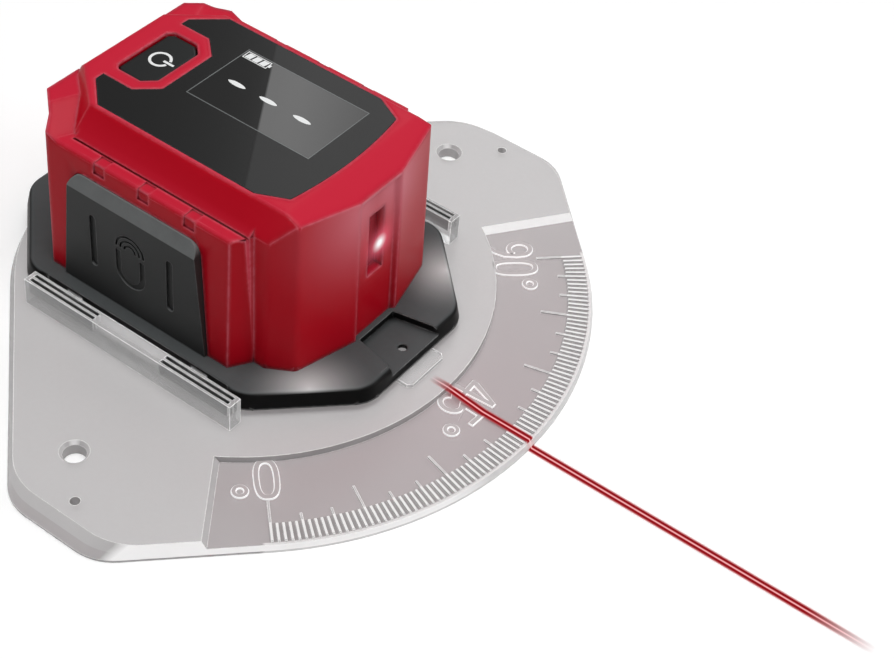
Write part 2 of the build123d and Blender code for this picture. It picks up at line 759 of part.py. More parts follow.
# Side pads with their grooves and a magnet sign
pad_plane = side_plane(-pad_floor_y)
with BuildPart() as side_pad_near:
    with BuildSketch(pad_plane):
        add(pad_shape(0))
    extrude(amount=pad_face_y - pad_floor_y)
    split(bisect_by=falling_plane((0, -pad_face_y, pad_head_z), (0, -1), *pad_bevel), keep=Keep.BOTTOM)
    with BuildSketch(pad_plane.offset(pad_face_y - pad_floor_y)):
        with Locations(*[(x, sum(pad_groove_z) / 2) for x in pad_groove_xs]):
            SlotOverall(pad_groove_z[1] - pad_groove_z[0], pad_groove_w, rotation=90)
    extrude(amount=-pad_groove_depth, mode=Mode.SUBTRACT)
    with BuildSketch(pad_plane.offset(pad_face_y - pad_floor_y)):
        with Locations((sign_x, sign_z)):
            Circle(sign_r)
            Circle(sign_r - sign_bar, mode=Mode.SUBTRACT)
            Rectangle(2 * sign_r, sign_r, align=(Align.CENTER, Align.MIN), mode=Mode.SUBTRACT)
            for arm in (-1, 1):
                with Locations((arm * (sign_r - sign_bar / 2), 0)):
                    Rectangle(sign_bar, sign_arm, align=(Align.CENTER, Align.MIN))
    extrude(amount=-sign_depth, mode=Mode.SUBTRACT)
    with BuildSketch(pad_plane.offset(pad_face_y - pad_floor_y)):
        with Locations((sign_x, sign_arc_z)):
            for arc_r in sign_arc_rs:
                Circle(arc_r)
                Circle(arc_r - sign_arc_w, mode=Mode.SUBTRACT)
            Rectangle(3 * sign_r, 2 * sign_r, align=(Align.CENTER, Align.MAX), mode=Mode.SUBTRACT)
    extrude(amount=-sign_depth, mode=Mode.SUBTRACT)
save(side_pad_near.part, "side_pad_near")

with BuildPart() as side_pad_far:
    add(side_pad_near.part)
    mirror(about=Plane.XZ, mode=Mode.REPLACE)
save(side_pad_far.part, "side_pad_far")

with BuildPart() as side_magnets:
    for side in (-1, 1):
        with BuildSketch(side_plane(side * (pad_floor_y - snap_gap / 2))):
            with Locations(*[(x, magnet_z) for x in magnet_xs]):
                Circle(magnet_r)
        extrude(amount=side * magnet_t)
save(side_magnets.part, "side_magnets")

# Top panel
with BuildPart() as top_panel:
    with BuildSketch(Plane.XY.offset(roof_z - panel_t)):
        add(panel_shape(0))
    extrude(amount=panel_t)
save(top_panel.part, "top_panel")

# Power button, sprung up by a rubber boot over the switch
flange_top_z = roof_in_z - slide_gap
button_foot_z = flange_top_z - flange_t
with BuildPart() as power_button:
    with BuildSketch(Plane.XY.offset(button_foot_z)):
        add(button_shape(0))
    extrude(amount=button_top_z - button_foot_z)
    chamfer(power_button.edges().group_by(Axis.Z)[-1], 0.3)
    with BuildSketch(Plane.XY.offset(button_foot_z)):
        add(button_shape(flange_w))
    extrude(amount=flange_t)
save(power_button.part, "power_button")

boot_top_z = button_foot_z - 0.1
with BuildPart() as button_boot:
    with BuildSketch(Plane(origin=(switch_x, 0, 0), x_dir=(1, 0, 0), z_dir=(0, -1, 0))):
        with BuildLine():
            Polyline(
                (boot_r - boot_wall, board_top_z),
                (boot_r, board_top_z),
                (boot_r - boot_wall / 2, boot_top_z),
                (boot_r - 1.5 * boot_wall, boot_top_z),
                close=True,
            )
        make_face()
    revolve(axis=Axis((switch_x, 0, 0), (0, 0, 1)))
save(button_boot.part, "button_boot")

with BuildPart() as tact_switch:
    with BuildSketch(Plane.XY.offset(board_top_z)):
        with Locations((switch_x, 0)):
            Rectangle(switch_side, switch_side)
    extrude(amount=switch_h)
    with BuildSketch(Plane.XY.offset(board_top_z)):
        with Locations((switch_x, 0)):
            Circle(switch_side * 0.28)
    extrude(amount=button_foot_z - button_travel - 0.1 - board_top_z)
save(tact_switch.part, "tact_switch")

# Screen, its gasket under the roof and the strip that joins it to the board
screen_mid = (sum(screen_x) / 2, sum(screen_y) / 2)
screen_size = (screen_x[1] - screen_x[0] + 2 * screen_rim, screen_y[1] - screen_y[0] + 2 * screen_rim)
screen_top_z = roof_in_z - gasket_t
with BuildPart() as screen_gasket:
    with BuildSketch(Plane.XY.offset(screen_top_z)):
        with Locations(screen_mid):
            Rectangle(*screen_size)
            Rectangle(screen_size[0] - 2 * gasket_w, screen_size[1] - 2 * gasket_w, mode=Mode.SUBTRACT)
    extrude(amount=gasket_t)
save(screen_gasket.part, "screen_gasket")

with BuildPart() as screen_module:
    with BuildSketch(Plane.XY.offset(screen_top_z)):
        with Locations(screen_mid):
            Rectangle(*screen_size)
    extrude(amount=-screen_t)
save(screen_module.part, "screen_module")

with BuildPart() as screen_connector:
    with BuildSketch(Plane.XY.offset(board_top_z)):
        with Locations((screen_mid[0], screen_mid[1] - screen_size[1] / 2 + 2)):
            Rectangle(screen_size[0] - 10, 2.2)
    extrude(amount=screen_top_z - screen_t - board_top_z)
save(screen_connector.part, "screen_connector")

# Main board with its chips and screws
board_foot_z = board_top_z - board_t
with BuildPart() as main_board:
    with BuildSketch(Plane.XY.offset(board_foot_z)):
        with Locations((board_x[0], 0)):
            Rectangle(board_x[1] - board_x[0], 2 * board_half_y, align=(Align.MIN, Align.CENTER))
        with Locations(*board_boss_places):
            Circle(small_shank_r + 2 * screw_gap, mode=Mode.SUBTRACT)
    extrude(amount=board_t)
save(main_board.part, "main_board")

with BuildPart() as processor_chip:
    with BuildSketch(Plane.XY.offset(board_foot_z)):
        with Locations(processor_place):
            Rectangle(processor_side, processor_side)
    extrude(amount=-processor_t)
save(processor_chip.part, "processor_chip")

with BuildPart() as tilt_sensor:
    with BuildSketch(Plane.XY.offset(board_foot_z)):
        with Locations(tilt_place):
            Rectangle(tilt_side, tilt_side)
    extrude(amount=-tilt_t)
save(tilt_sensor.part, "tilt_sensor")


# Small screws with their heads on a face, pointing up or down
def small_screws(places, seat_z, up):
    with BuildPart() as screws:
        with BuildSketch(Plane.XY.offset(seat_z)):
            with Locations(*places):
                Circle(small_head_r)
        extrude(amount=-up * small_head_h)
        with BuildSketch(Plane.XY.offset(seat_z)):
            with Locations(*places):
                Circle(small_shank_r)
        extrude(amount=up * small_depth)
        with BuildSketch(Plane.XY.offset(seat_z - up * small_head_h)):
            with Locations(*places):
                RegularPolygon(small_head_r * 0.45, 6)
        extrude(amount=up * small_head_h * 0.6, mode=Mode.SUBTRACT)
    return screws.part


save(small_screws(board_boss_places, board_foot_z, 1), "board_screws")

# Battery on its foam bed, under the chassis plate
battery_foot_z = dome_z + bed_t
with BuildPart() as battery_bed:
    with BuildSketch(Plane.XY.offset(dome_z)):
        with Locations((battery_x, 0)):
            Rectangle(battery_size[0] - 8, battery_size[1] - 4)
    extrude(amount=bed_t)
save(battery_bed.part, "battery_bed")

with BuildPart() as battery_pack:
    with BuildSketch(Plane.XY.offset(battery_foot_z)):
        with Locations((battery_x, 0)):
            RectangleRounded(battery_size[0], battery_size[1], 2)
    extrude(amount=battery_size[2])
    fillet(battery_pack.edges().group_by(Axis.Z)[-1], 1)
save(battery_pack.part, "battery_pack")

deck_plate_top = deck_plate_z + deck_plate_t
bracket_mid_x = sum(bracket_x) / 2
bracket_places = [(bracket_mid_x, side * (bracket_half + bracket_foot_half) / 2) for side in (-1, 1)]
with BuildPart() as chassis_plate:
    with BuildSketch(Plane.XY.offset(deck_plate_z)):
        Rectangle(2 * (post_x + post_r + 1.5), 2 * (post_y + post_r))
        with Locations((charge_board_x[0] - 0.5, 0)):
            Rectangle(-charge_board_x[0], 2 * (charge_board_half_y + 2), align=(Align.MIN, Align.CENTER))
        with Locations(*post_places):
            Circle(small_shank_r + 2 * screw_gap, mode=Mode.SUBTRACT)
        with Locations(*bracket_places):
            Circle(small_shank_r + screw_gap, mode=Mode.SUBTRACT)
    extrude(amount=deck_plate_t)
save(chassis_plate.part, "chassis_plate")
save(small_screws(post_places, deck_plate_top, -1), "chassis_screws")

# Charging board and socket
with BuildPart() as charge_board:
    with BuildSketch(Plane.XY.offset(deck_plate_top)):
        with Locations((sum(charge_board_x) / 2, 0)):
            Rectangle(charge_board_x[1] - charge_board_x[0], 2 * charge_board_half_y)
    extrude(amount=board_t)
    # Plug header for the battery lead
    with BuildSketch(Plane.XY.offset(deck_plate_top + board_t)):
        with Locations(header_place):
            Rectangle(header_side, header_side)
    extrude(amount=header_h)
save(charge_board.part, "charge_board")

with BuildPart() as charge_port:
    with BuildSketch(Plane.YZ.offset(port_mouth_x)):
        with Locations((0, port_mid_z)):
            SlotOverall(port_size[1], port_size[2])
    extrude(amount=port_size[0])
    with BuildSketch(Plane.YZ.offset(port_mouth_x)):
        with Locations((0, port_mid_z)):
            SlotOverall(port_size[1] - 0.6, port_size[2] - 0.6)
            Rectangle(port_size[1] - 2.2, 0.7, mode=Mode.SUBTRACT)
    extrude(amount=port_size[0] - 1.2, mode=Mode.SUBTRACT)
save(charge_port.part, "charge_port")

with BuildPart() as buzzer:
    with BuildSketch(Plane.XY.offset(deck_plate_top)):
        with Locations(buzzer_place):
            Circle(buzzer_r)
    extrude(amount=buzzer_h)
    with BuildSketch(Plane.XY.offset(deck_plate_top + buzzer_h)):
        with Locations(buzzer_place):
            Circle(buzzer_r * 0.2)
    extrude(amount=-1, mode=Mode.SUBTRACT)
save(buzzer.part, "buzzer")

# Laser bracket, barrel, diode and line lens
with BuildPart() as laser_bracket:
    with BuildSketch(Plane.XY.offset(deck_plate_top)):
        with Locations((bracket_mid_x, 0)):
            Rectangle(bracket_x[1] - bracket_x[0] + 2, 2 * bracket_foot_half)
        with Locations(*bracket_places):
            Circle(small_shank_r + 2 * screw_gap, mode=Mode.SUBTRACT)
    extrude(amount=bracket_foot_t)
    with BuildSketch(Plane.XY.offset(deck_plate_top)):
        with Locations((bracket_mid_x, 0)):
            Rectangle(bracket_x[1] - bracket_x[0], 2 * bracket_half)
    extrude(amount=bracket_top_z - deck_plate_top)
    with BuildSketch(Plane.YZ):
        with Locations((0, beam_z)):
            Circle(barrel_r + screw_gap)
    extrude(amount=far, mode=Mode.SUBTRACT)
save(laser_bracket.part, "laser_bracket")

bracket_foot_top = deck_plate_top + bracket_foot_t
with BuildPart() as bracket_screws:
    with BuildSketch(Plane.XY.offset(bracket_foot_top)):
        with Locations(*bracket_places):
            Circle(small_head_r)
    extrude(amount=small_head_h)
    with BuildSketch(Plane.XY.offset(bracket_foot_top)):
        with Locations(*bracket_places):
            Circle(small_shank_r)
    extrude(amount=deck_plate_z - bracket_foot_top)
    with BuildSketch(Plane.XY.offset(bracket_foot_top + small_head_h)):
        with Locations(*bracket_places):
            RegularPolygon(small_head_r * 0.45, 6)
    extrude(amount=-small_head_h * 0.6, mode=Mode.SUBTRACT)
save(bracket_screws.part, "bracket_screws")

beam_axis = Axis((0, 0, beam_z), (1, 0, 0))
beam_plane = Plane(origin=(0, 0, beam_z), x_dir=(1, 0, 0), z_dir=(0, -1, 0))
with BuildPart() as laser_barrel:
    with BuildSketch(beam_plane):
        with BuildLine():
            Polyline(
                (barrel_x[0], diode_r / 2),
                (barrel_x[0], barrel_r),
                (barrel_x[1], barrel_r),
                (barrel_x[1], lens_r + screw_gap),
                (lens_x[0], lens_r + screw_gap),
                (lens_x[0], diode_r + screw_gap),
                (barrel_x[0] + 1, diode_r + screw_gap),
                (barrel_x[0] + 1, diode_r / 2),
                close=True,
            )
        make_face()
    revolve(axis=beam_axis)
save(laser_barrel.part, "laser_barrel")

with BuildPart() as laser_diode:
    with BuildSketch(beam_plane):
        with BuildLine():
            Polyline(
                (barrel_x[0] - diode_pins, 0),
                (barrel_x[0] - diode_pins, diode_r / 3),
                (barrel_x[0] + 1, diode_r / 3),
                (barrel_x[0] + 1, diode_r),
                (barrel_x[0] + 2.4, diode_r),
                (barrel_x[0] + 2.4, diode_r * 0.75),
                (barrel_x[0] + 5, diode_r * 0.75),
                (barrel_x[0] + 5, 0),
                close=True,
            )
        make_face()
    revolve(axis=beam_axis)
save(laser_diode.part, "laser_diode")

with BuildPart() as line_lens:
    with BuildSketch(Plane.YZ.offset(lens_x[0])):
        with Locations((0, beam_z)):
            Circle(lens_r)
    extrude(amount=lens_x[1] - lens_x[0])
    with BuildSketch(Plane.XY.offset(beam_z - lens_r - 1)):
        with Locations((lens_x[1] + lens_r - 1, 0)):
            Circle(lens_r)
    extrude(amount=2 * lens_r + 2, mode=Mode.SUBTRACT)
save(line_lens.part, "line_lens")

pane_t = lens_room_depth - snap_gap
with BuildPart() as laser_window:
    with BuildSketch(Plane.YZ.offset(frame_x + lens_room_depth - pane_t)):
        with Locations((0, sum(lens_room_z) / 2)):
            Rectangle(2 * (lens_room_half - snap_gap), lens_room_z[1] - lens_room_z[0] - 2 * snap_gap)
    extrude(amount=pane_t)
save(laser_window.part, "laser_window")

# Screws from below that hold the housing on the base
with BuildPart() as housing_screws:
    with BuildSketch(Plane.XY.offset(case_head_z)):
        with Locations(*case_places):
            Circle(case_head_r)
    extrude(amount=-case_head_h)
    with BuildSketch(Plane.XY.offset(case_head_z)):
        with Locations(*case_places):
            Circle(case_shank_r)
    extrude(amount=case_screw_top_z - case_head_z)
    with BuildSketch(Plane.XY.offset(case_head_z - case_head_h)):
        with Locations(*case_places):
            RegularPolygon(case_head_r * 0.45, 6)
    extrude(amount=case_head_h * 0.6, mode=Mode.SUBTRACT)
save(housing_screws.part, "housing_screws")


# A round lead along straight runs joined by arcs
def lead(points, radii):
    with BuildPart() as tube:
        with BuildLine() as path:
            FilletPolyline(*points, radius=radii)
        with BuildSketch(Plane(origin=points[0], z_dir=path.wires()[0] % 0)):
            Circle(lead_r)
        sweep()
    return tube.part


header_y = header_place[1] + header_side / 2
battery_lead_z = (battery_foot_z + battery_size[2] / 2, deck_plate_top + board_t + header_h / 2)
battery_route = [
    (battery_x - battery_size[0] / 2, battery_lead_y, battery_lead_z[0]),
    (battery_lead_x, battery_lead_y, battery_lead_z[0]),
    (battery_lead_x, battery_lead_y, battery_lead_z[1]),
    (header_place[0], battery_lead_y, battery_lead_z[1]),
    (header_place[0], header_y, battery_lead_z[1]),
]
save(lead(battery_route, [1.5, 2.4, 1.7]), "battery_lead")

laser_route = [
    (barrel_x[0] - diode_pins, 0, beam_z),
    (laser_lead_x, 0, beam_z),
    (laser_lead_x, 0, board_foot_z),
]
save(lead(laser_route, [2.8]), "laser_lead")
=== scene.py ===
import math

import bmesh
import bpy
from mathutils import Matrix, Vector


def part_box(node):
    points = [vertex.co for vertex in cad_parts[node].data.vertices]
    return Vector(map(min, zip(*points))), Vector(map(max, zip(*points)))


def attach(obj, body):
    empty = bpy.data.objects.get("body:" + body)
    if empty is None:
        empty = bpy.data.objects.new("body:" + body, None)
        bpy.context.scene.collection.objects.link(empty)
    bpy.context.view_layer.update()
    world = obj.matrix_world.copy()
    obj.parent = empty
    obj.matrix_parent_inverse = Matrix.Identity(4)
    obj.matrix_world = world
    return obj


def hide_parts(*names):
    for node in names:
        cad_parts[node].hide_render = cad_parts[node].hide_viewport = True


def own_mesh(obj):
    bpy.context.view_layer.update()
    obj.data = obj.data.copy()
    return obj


# Digital laser level on its clear protractor plate. Everything is in metres, in the CAD frame.
mm = 0.001
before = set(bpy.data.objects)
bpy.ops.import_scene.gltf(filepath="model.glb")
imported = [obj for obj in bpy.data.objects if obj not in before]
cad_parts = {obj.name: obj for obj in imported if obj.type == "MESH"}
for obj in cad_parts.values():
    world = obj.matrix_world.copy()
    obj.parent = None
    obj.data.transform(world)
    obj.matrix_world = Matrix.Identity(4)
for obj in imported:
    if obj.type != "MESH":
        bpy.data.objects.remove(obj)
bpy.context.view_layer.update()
scene = bpy.context.scene
print("stage 1: CAD frame is in")


# Node trees

def addNode(tree, kind, inputs=None, **settings):
    node = tree.nodes.new(kind)
    for key, value in settings.items():
        setattr(node, key, value)
    for key, value in (inputs or {}).items():
        node.inputs[key].default_value = value
    return node


def startGroup(name, takes, gives, directions=()):
    tree = bpy.data.node_groups.new(name, "ShaderNodeTree")
    for label, value in takes.items():
        socket = tree.interface.new_socket(name=label, in_out="INPUT", socket_type="NodeSocketFloat")
        socket.default_value = value
    for label in gives:
        tree.interface.new_socket(name=label, in_out="OUTPUT", socket_type="NodeSocketFloat")
    for label in directions:
        tree.interface.new_socket(name=label, in_out="OUTPUT", socket_type="NodeSocketVector")
    return tree, addNode(tree, "NodeGroupInput"), addNode(tree, "NodeGroupOutput")


def useGroup(tree, group, **values):
    node = addNode(tree, "ShaderNodeGroup", node_tree=group)
    for label, value in values.items():
        node.inputs[label].default_value = value
    return node


def rangeOf(tree, source, low, high, newLow, newHigh):
    node = addNode(tree, "ShaderNodeMapRange", {1: low, 2: high, 3: newLow, 4: newHigh})
    tree.links.new(source, node.inputs[0])
    return node.outputs[0]


def product(tree, first, second):
    node = addNode(tree, "ShaderNodeMath", operation="MULTIPLY")
    tree.links.new(first, node.inputs[0])
    tree.links.new(second, node.inputs[1])
    return node.outputs[0]


def blendColour(tree, factor, first, second):
    node = addNode(tree, "ShaderNodeMix", data_type="RGBA")
    tree.links.new(factor, node.inputs[0])
    for socket, value in ((node.inputs[6], first), (node.inputs[7], second)):
        if isinstance(value, tuple):
            socket.default_value = (*value, 1)
        else:
            tree.links.new(value, socket)
    return node.outputs[2]


# Fine grain of a mould and the slow patches of gloss over it
def makeMouldGrain():
    tree, taken, given = startGroup("mouldGrain", {"Grain": 3000.0, "Patch": 60.0}, ("Height", "Patches"))
    place = addNode(tree, "ShaderNodeTexCoord")
    fine = addNode(tree, "ShaderNodeTexNoise", {"Detail": 4.0, "Roughness": 0.6})
    slow = addNode(tree, "ShaderNodeTexNoise", {"Detail": 3.0, "Roughness": 0.55})
    tree.links.new(place.outputs["Object"], fine.inputs["Vector"])
    tree.links.new(place.outputs["Object"], slow.inputs["Vector"])
    tree.links.new(taken.outputs["Grain"], fine.inputs["Scale"])
    tree.links.new(taken.outputs["Patch"], slow.inputs["Scale"])
    tree.links.new(fine.outputs[0], given.inputs["Height"])
    tree.links.new(slow.outputs[0], given.inputs["Patches"])
    return tree


# How far a normal bends at an edge, and how open or closed its surroundings are
edgeLook = {
    "bend": (0.985, 0.88), "open": (0.45, 0.75), "breaks": (0.35, 0.6), "leastWearAndHighlight": 0.55,
    "closed": (0.85, 0.3),
}


# Normal that rounds sharp edges softly, a mask of outer edges for wear and painted highlights, and one of
# inner corners for painted shade
def makeSoftEdge():
    takes = {"Radius": 0.4 * mm, "Round": 0.4 * mm, "Breakup": 700.0, "Depth": 1.5 * mm}
    tree, taken, given = startGroup("softEdge", takes, ("Mask", "HollowShade"), ("Normal",))
    shape = addNode(tree, "ShaderNodeNewGeometry")
    narrow = addNode(tree, "ShaderNodeBevel", samples=6)
    rounded = addNode(tree, "ShaderNodeBevel", samples=6)
    compare = addNode(tree, "ShaderNodeVectorMath", operation="DOT_PRODUCT")
    around = addNode(tree, "ShaderNodeAmbientOcclusion", samples=6, only_local=True)
    place = addNode(tree, "ShaderNodeTexCoord")
    noise = addNode(tree, "ShaderNodeTexNoise", {"Detail": 5.0})
    tree.links.new(taken.outputs["Radius"], narrow.inputs["Radius"])
    tree.links.new(taken.outputs["Round"], rounded.inputs["Radius"])
    tree.links.new(taken.outputs["Depth"], around.inputs["Distance"])
    tree.links.new(narrow.outputs[0], compare.inputs[0])
    tree.links.new(shape.outputs["Normal"], compare.inputs[1])
    tree.links.new(place.outputs["Object"], noise.inputs["Vector"])
    tree.links.new(taken.outputs["Breakup"], noise.inputs["Scale"])
    edge = rangeOf(tree, compare.outputs["Value"], *edgeLook["bend"], 0, 1)
    outer = product(tree, edge, rangeOf(tree, around.outputs["AO"], *edgeLook["open"], 0, 1))
    broken = rangeOf(tree, noise.outputs[0], *edgeLook["breaks"], edgeLook["leastWearAndHighlight"], 1)
    hollow = rangeOf(tree, around.outputs["AO"], *edgeLook["closed"], 0, 1)
    tree.links.new(product(tree, outer, broken), given.inputs["Mask"])
    tree.links.new(hollow, given.inputs["HollowShade"])
    tree.links.new(rounded.outputs[0], given.inputs["Normal"])
    return tree


# Light dust, with a painted sheen that lightens what faces up
def makeSettledDustAndSheen():
    takes = {"Scale": 220.0, "Amount": 0.2, "Facing": 0.6, "Even": 0.4}
    tree, taken, given = startGroup("settledDustAndSheen", takes, ("Mask",))
    shape = addNode(tree, "ShaderNodeNewGeometry")
    place = addNode(tree, "ShaderNodeTexCoord")
    split = addNode(tree, "ShaderNodeSeparateXYZ")
    noise = addNode(tree, "ShaderNodeTexNoise", {"Detail": 6.0, "Roughness": 0.7})
    upward = addNode(tree, "ShaderNodeMapRange", {2: 0.95})
    tree.links.new(shape.outputs["Normal"], split.inputs[0])
    tree.links.new(place.outputs["Object"], noise.inputs["Vector"])
    tree.links.new(taken.outputs["Scale"], noise.inputs["Scale"])
    tree.links.new(split.outputs["Z"], upward.inputs[0])
    tree.links.new(taken.outputs["Facing"], upward.inputs[1])
    speckle = addNode(tree, "ShaderNodeMapRange", {1: 0.3, 2: 0.7, 4: 1.0})
    tree.links.new(noise.outputs[0], speckle.inputs[0])
    tree.links.new(taken.outputs["Even"], speckle.inputs[3])
    mask = product(tree, upward.outputs[0], speckle.outputs[0])
    tree.links.new(product(tree, mask, taken.outputs["Amount"]), given.inputs["Mask"])
    return tree


reliefDepth = 0.05 * mm
mouldGrain = makeMouldGrain()
softEdge = makeSoftEdge()
settledDustAndSheen = makeSettledDustAndSheen()


def startMaterial(name, sockets):
    material = bpy.data.materials.new(name)
    material.use_nodes = True
    tree = material.node_tree
    shader = tree.nodes["Principled BSDF"]
    for key, value in sockets.items():
        shader.inputs[key].default_value = value
    return material, tree, shader


# Painted reflection, lighter than the surface: it starts at a slanted line in plan and fades out
def paintReflectionBand(tree, colour, reflectionBand):
    place = addNode(tree, "ShaderNodeTexCoord")
    start = addNode(tree, "ShaderNodeVectorMath", operation="SUBTRACT")
    start.inputs[1].default_value = (reflectionBand["start"][0] * mm, reflectionBand["start"][1] * mm, 0)
    across = addNode(tree, "ShaderNodeVectorMath", operation="DOT_PRODUCT")
    angle = math.radians(reflectionBand["heading"])
    across.inputs[1].default_value = (math.cos(angle), math.sin(angle), 0)
    tree.links.new(place.outputs["Object"], start.inputs[0])
    tree.links.new(start.outputs[0], across.inputs[0])
    begin = rangeOf(tree, across.outputs["Value"], 0, reflectionBand["soft"] * mm, 0, 1)
    fade = rangeOf(tree, across.outputs["Value"], 0, reflectionBand["reach"] * mm, 1, 0)
    return blendColour(tree, product(tree, begin, fade), colour, reflectionBand["colour"])


# Painted sheen in soft spots, one on each side, that fade out all round
def paintedSheenSpots(tree, colour, sheenSpot):
    place = addNode(tree, "ShaderNodeTexCoord")
    mirrored = addNode(tree, "ShaderNodeVectorMath", operation="ABSOLUTE")
    away = addNode(tree, "ShaderNodeVectorMath", operation="DISTANCE")
    away.inputs[1].default_value = [value * mm for value in sheenSpot["centre"]]
    tree.links.new(place.outputs["Object"], mirrored.inputs[0])
    tree.links.new(mirrored.outputs[0], away.inputs[0])
    shine = rangeOf(tree, away.outputs["Value"], 0, sheenSpot["radius"] * mm, 1, 0)
    front = addNode(tree, "ShaderNodeSeparateXYZ")
    tree.links.new(place.outputs["Object"], front.inputs[0])
    ahead = rangeOf(tree, front.outputs["X"], 0, 1 * mm, 0, 1)
    shape = addNode(tree, "ShaderNodeNewGeometry")
    turned = addNode(tree, "ShaderNodeSeparateXYZ")
    tree.links.new(shape.outputs["Normal"], turned.inputs[0])
    facing = product(tree, ahead, rangeOf(tree, turned.outputs["Z"], *sheenSpot["upward"], 0, 1))
    return blendColour(tree, product(tree, product(tree, shine, shine), facing), colour, sheenSpot["colour"])


# Moulded plastic or rubber: colour in slow patches, rubbed edges with painted highlights, painted shade in
# inner corners, dust with a painted sheen on what faces up, painted reflection bands and painted sheen spots,
# grain in gloss and relief
def mouldedFinish(name, look):
    material, tree, shader = startMaterial(name, look.get("sockets", {}))
    grain = useGroup(tree, mouldGrain, Grain=look["grain"], Patch=look["patch"])
    colour = blendColour(tree, grain.outputs["Patches"], look["colour"], look["shade"])
    relief = addNode(tree, "ShaderNodeBump", {"Strength": look["relief"], "Distance": reliefDepth})
    if "wearAndHighlight" in look:
        edge = useGroup(tree, softEdge, Radius=look["radius"] * mm, Depth=look["depth"] * mm)
        edge.inputs["Round"].default_value = look.get("round", look["radius"]) * mm
        # Outer edges get wear and a painted highlight
        colour = blendColour(tree, edge.outputs["Mask"], colour, look["wearAndHighlight"])
        tree.links.new(edge.outputs["Normal"], relief.inputs["Normal"])
    # Dust, and a painted sheen on what faces up
    if "dustAndSheen" in look:
        dustAndSheen = useGroup(tree, settledDustAndSheen, Amount=look["dustAndSheen"], Facing=look["facing"], Even=look["even"])
        colour = blendColour(tree, dustAndSheen.outputs["Mask"], colour, look["dustAndSheenColour"])
    # Painted shade in inner corners
    if "wearAndHighlight" in look:
        colour = blendColour(tree, edge.outputs["HollowShade"], colour, look["hollow"])
    # Painted reflection band
    if "reflectionBand" in look:
        colour = paintReflectionBand(tree, colour, look["reflectionBand"])
    # Painted sheen spots
    if "sheenSpot" in look:
        colour = paintedSheenSpots(tree, colour, look["sheenSpot"])
    tree.links.new(colour, shader.inputs["Base Color"])
    gloss = rangeOf(tree, grain.outputs["Patches"], 0, 1, *look["rough"])
    tree.links.new(gloss, shader.inputs["Roughness"])
    tree.links.new(grain.outputs["Height"], relief.inputs["Height"])
    tree.links.new(relief.outputs[0], shader.inputs["Normal"])
    return material


# Metal with drawn or turned lines along one axis
def metalFinish(name, look):
    material, tree, shader = startMaterial(name, {"Metallic": 1.0})
    place = addNode(tree, "ShaderNodeTexCoord")
    stretch = addNode(tree, "ShaderNodeMapping", {"Scale": look["stretch"]})
    lines = addNode(tree, "ShaderNodeTexNoise", {"Scale": 900.0, "Detail": 5.0})
    tree.links.new(place.outputs["Object"], stretch.inputs["Vector"])
    tree.links.new(stretch.outputs[0], lines.inputs["Vector"])
    streak = rangeOf(tree, lines.outputs[0], 0.35, 0.65, 0, 1)
    tree.links.new(blendColour(tree, streak, look["colour"], look["shade"]), shader.inputs["Base Color"])
    tree.links.new(rangeOf(tree, streak, 0, 1, *look["rough"]), shader.inputs["Roughness"])
    relief = addNode(tree, "ShaderNodeBump", {"Strength": 0.15, "Distance": 0.03 * mm})
    tree.links.new(streak, relief.inputs["Height"])
    tree.links.new(relief.outputs[0], shader.inputs["Normal"])
    return material


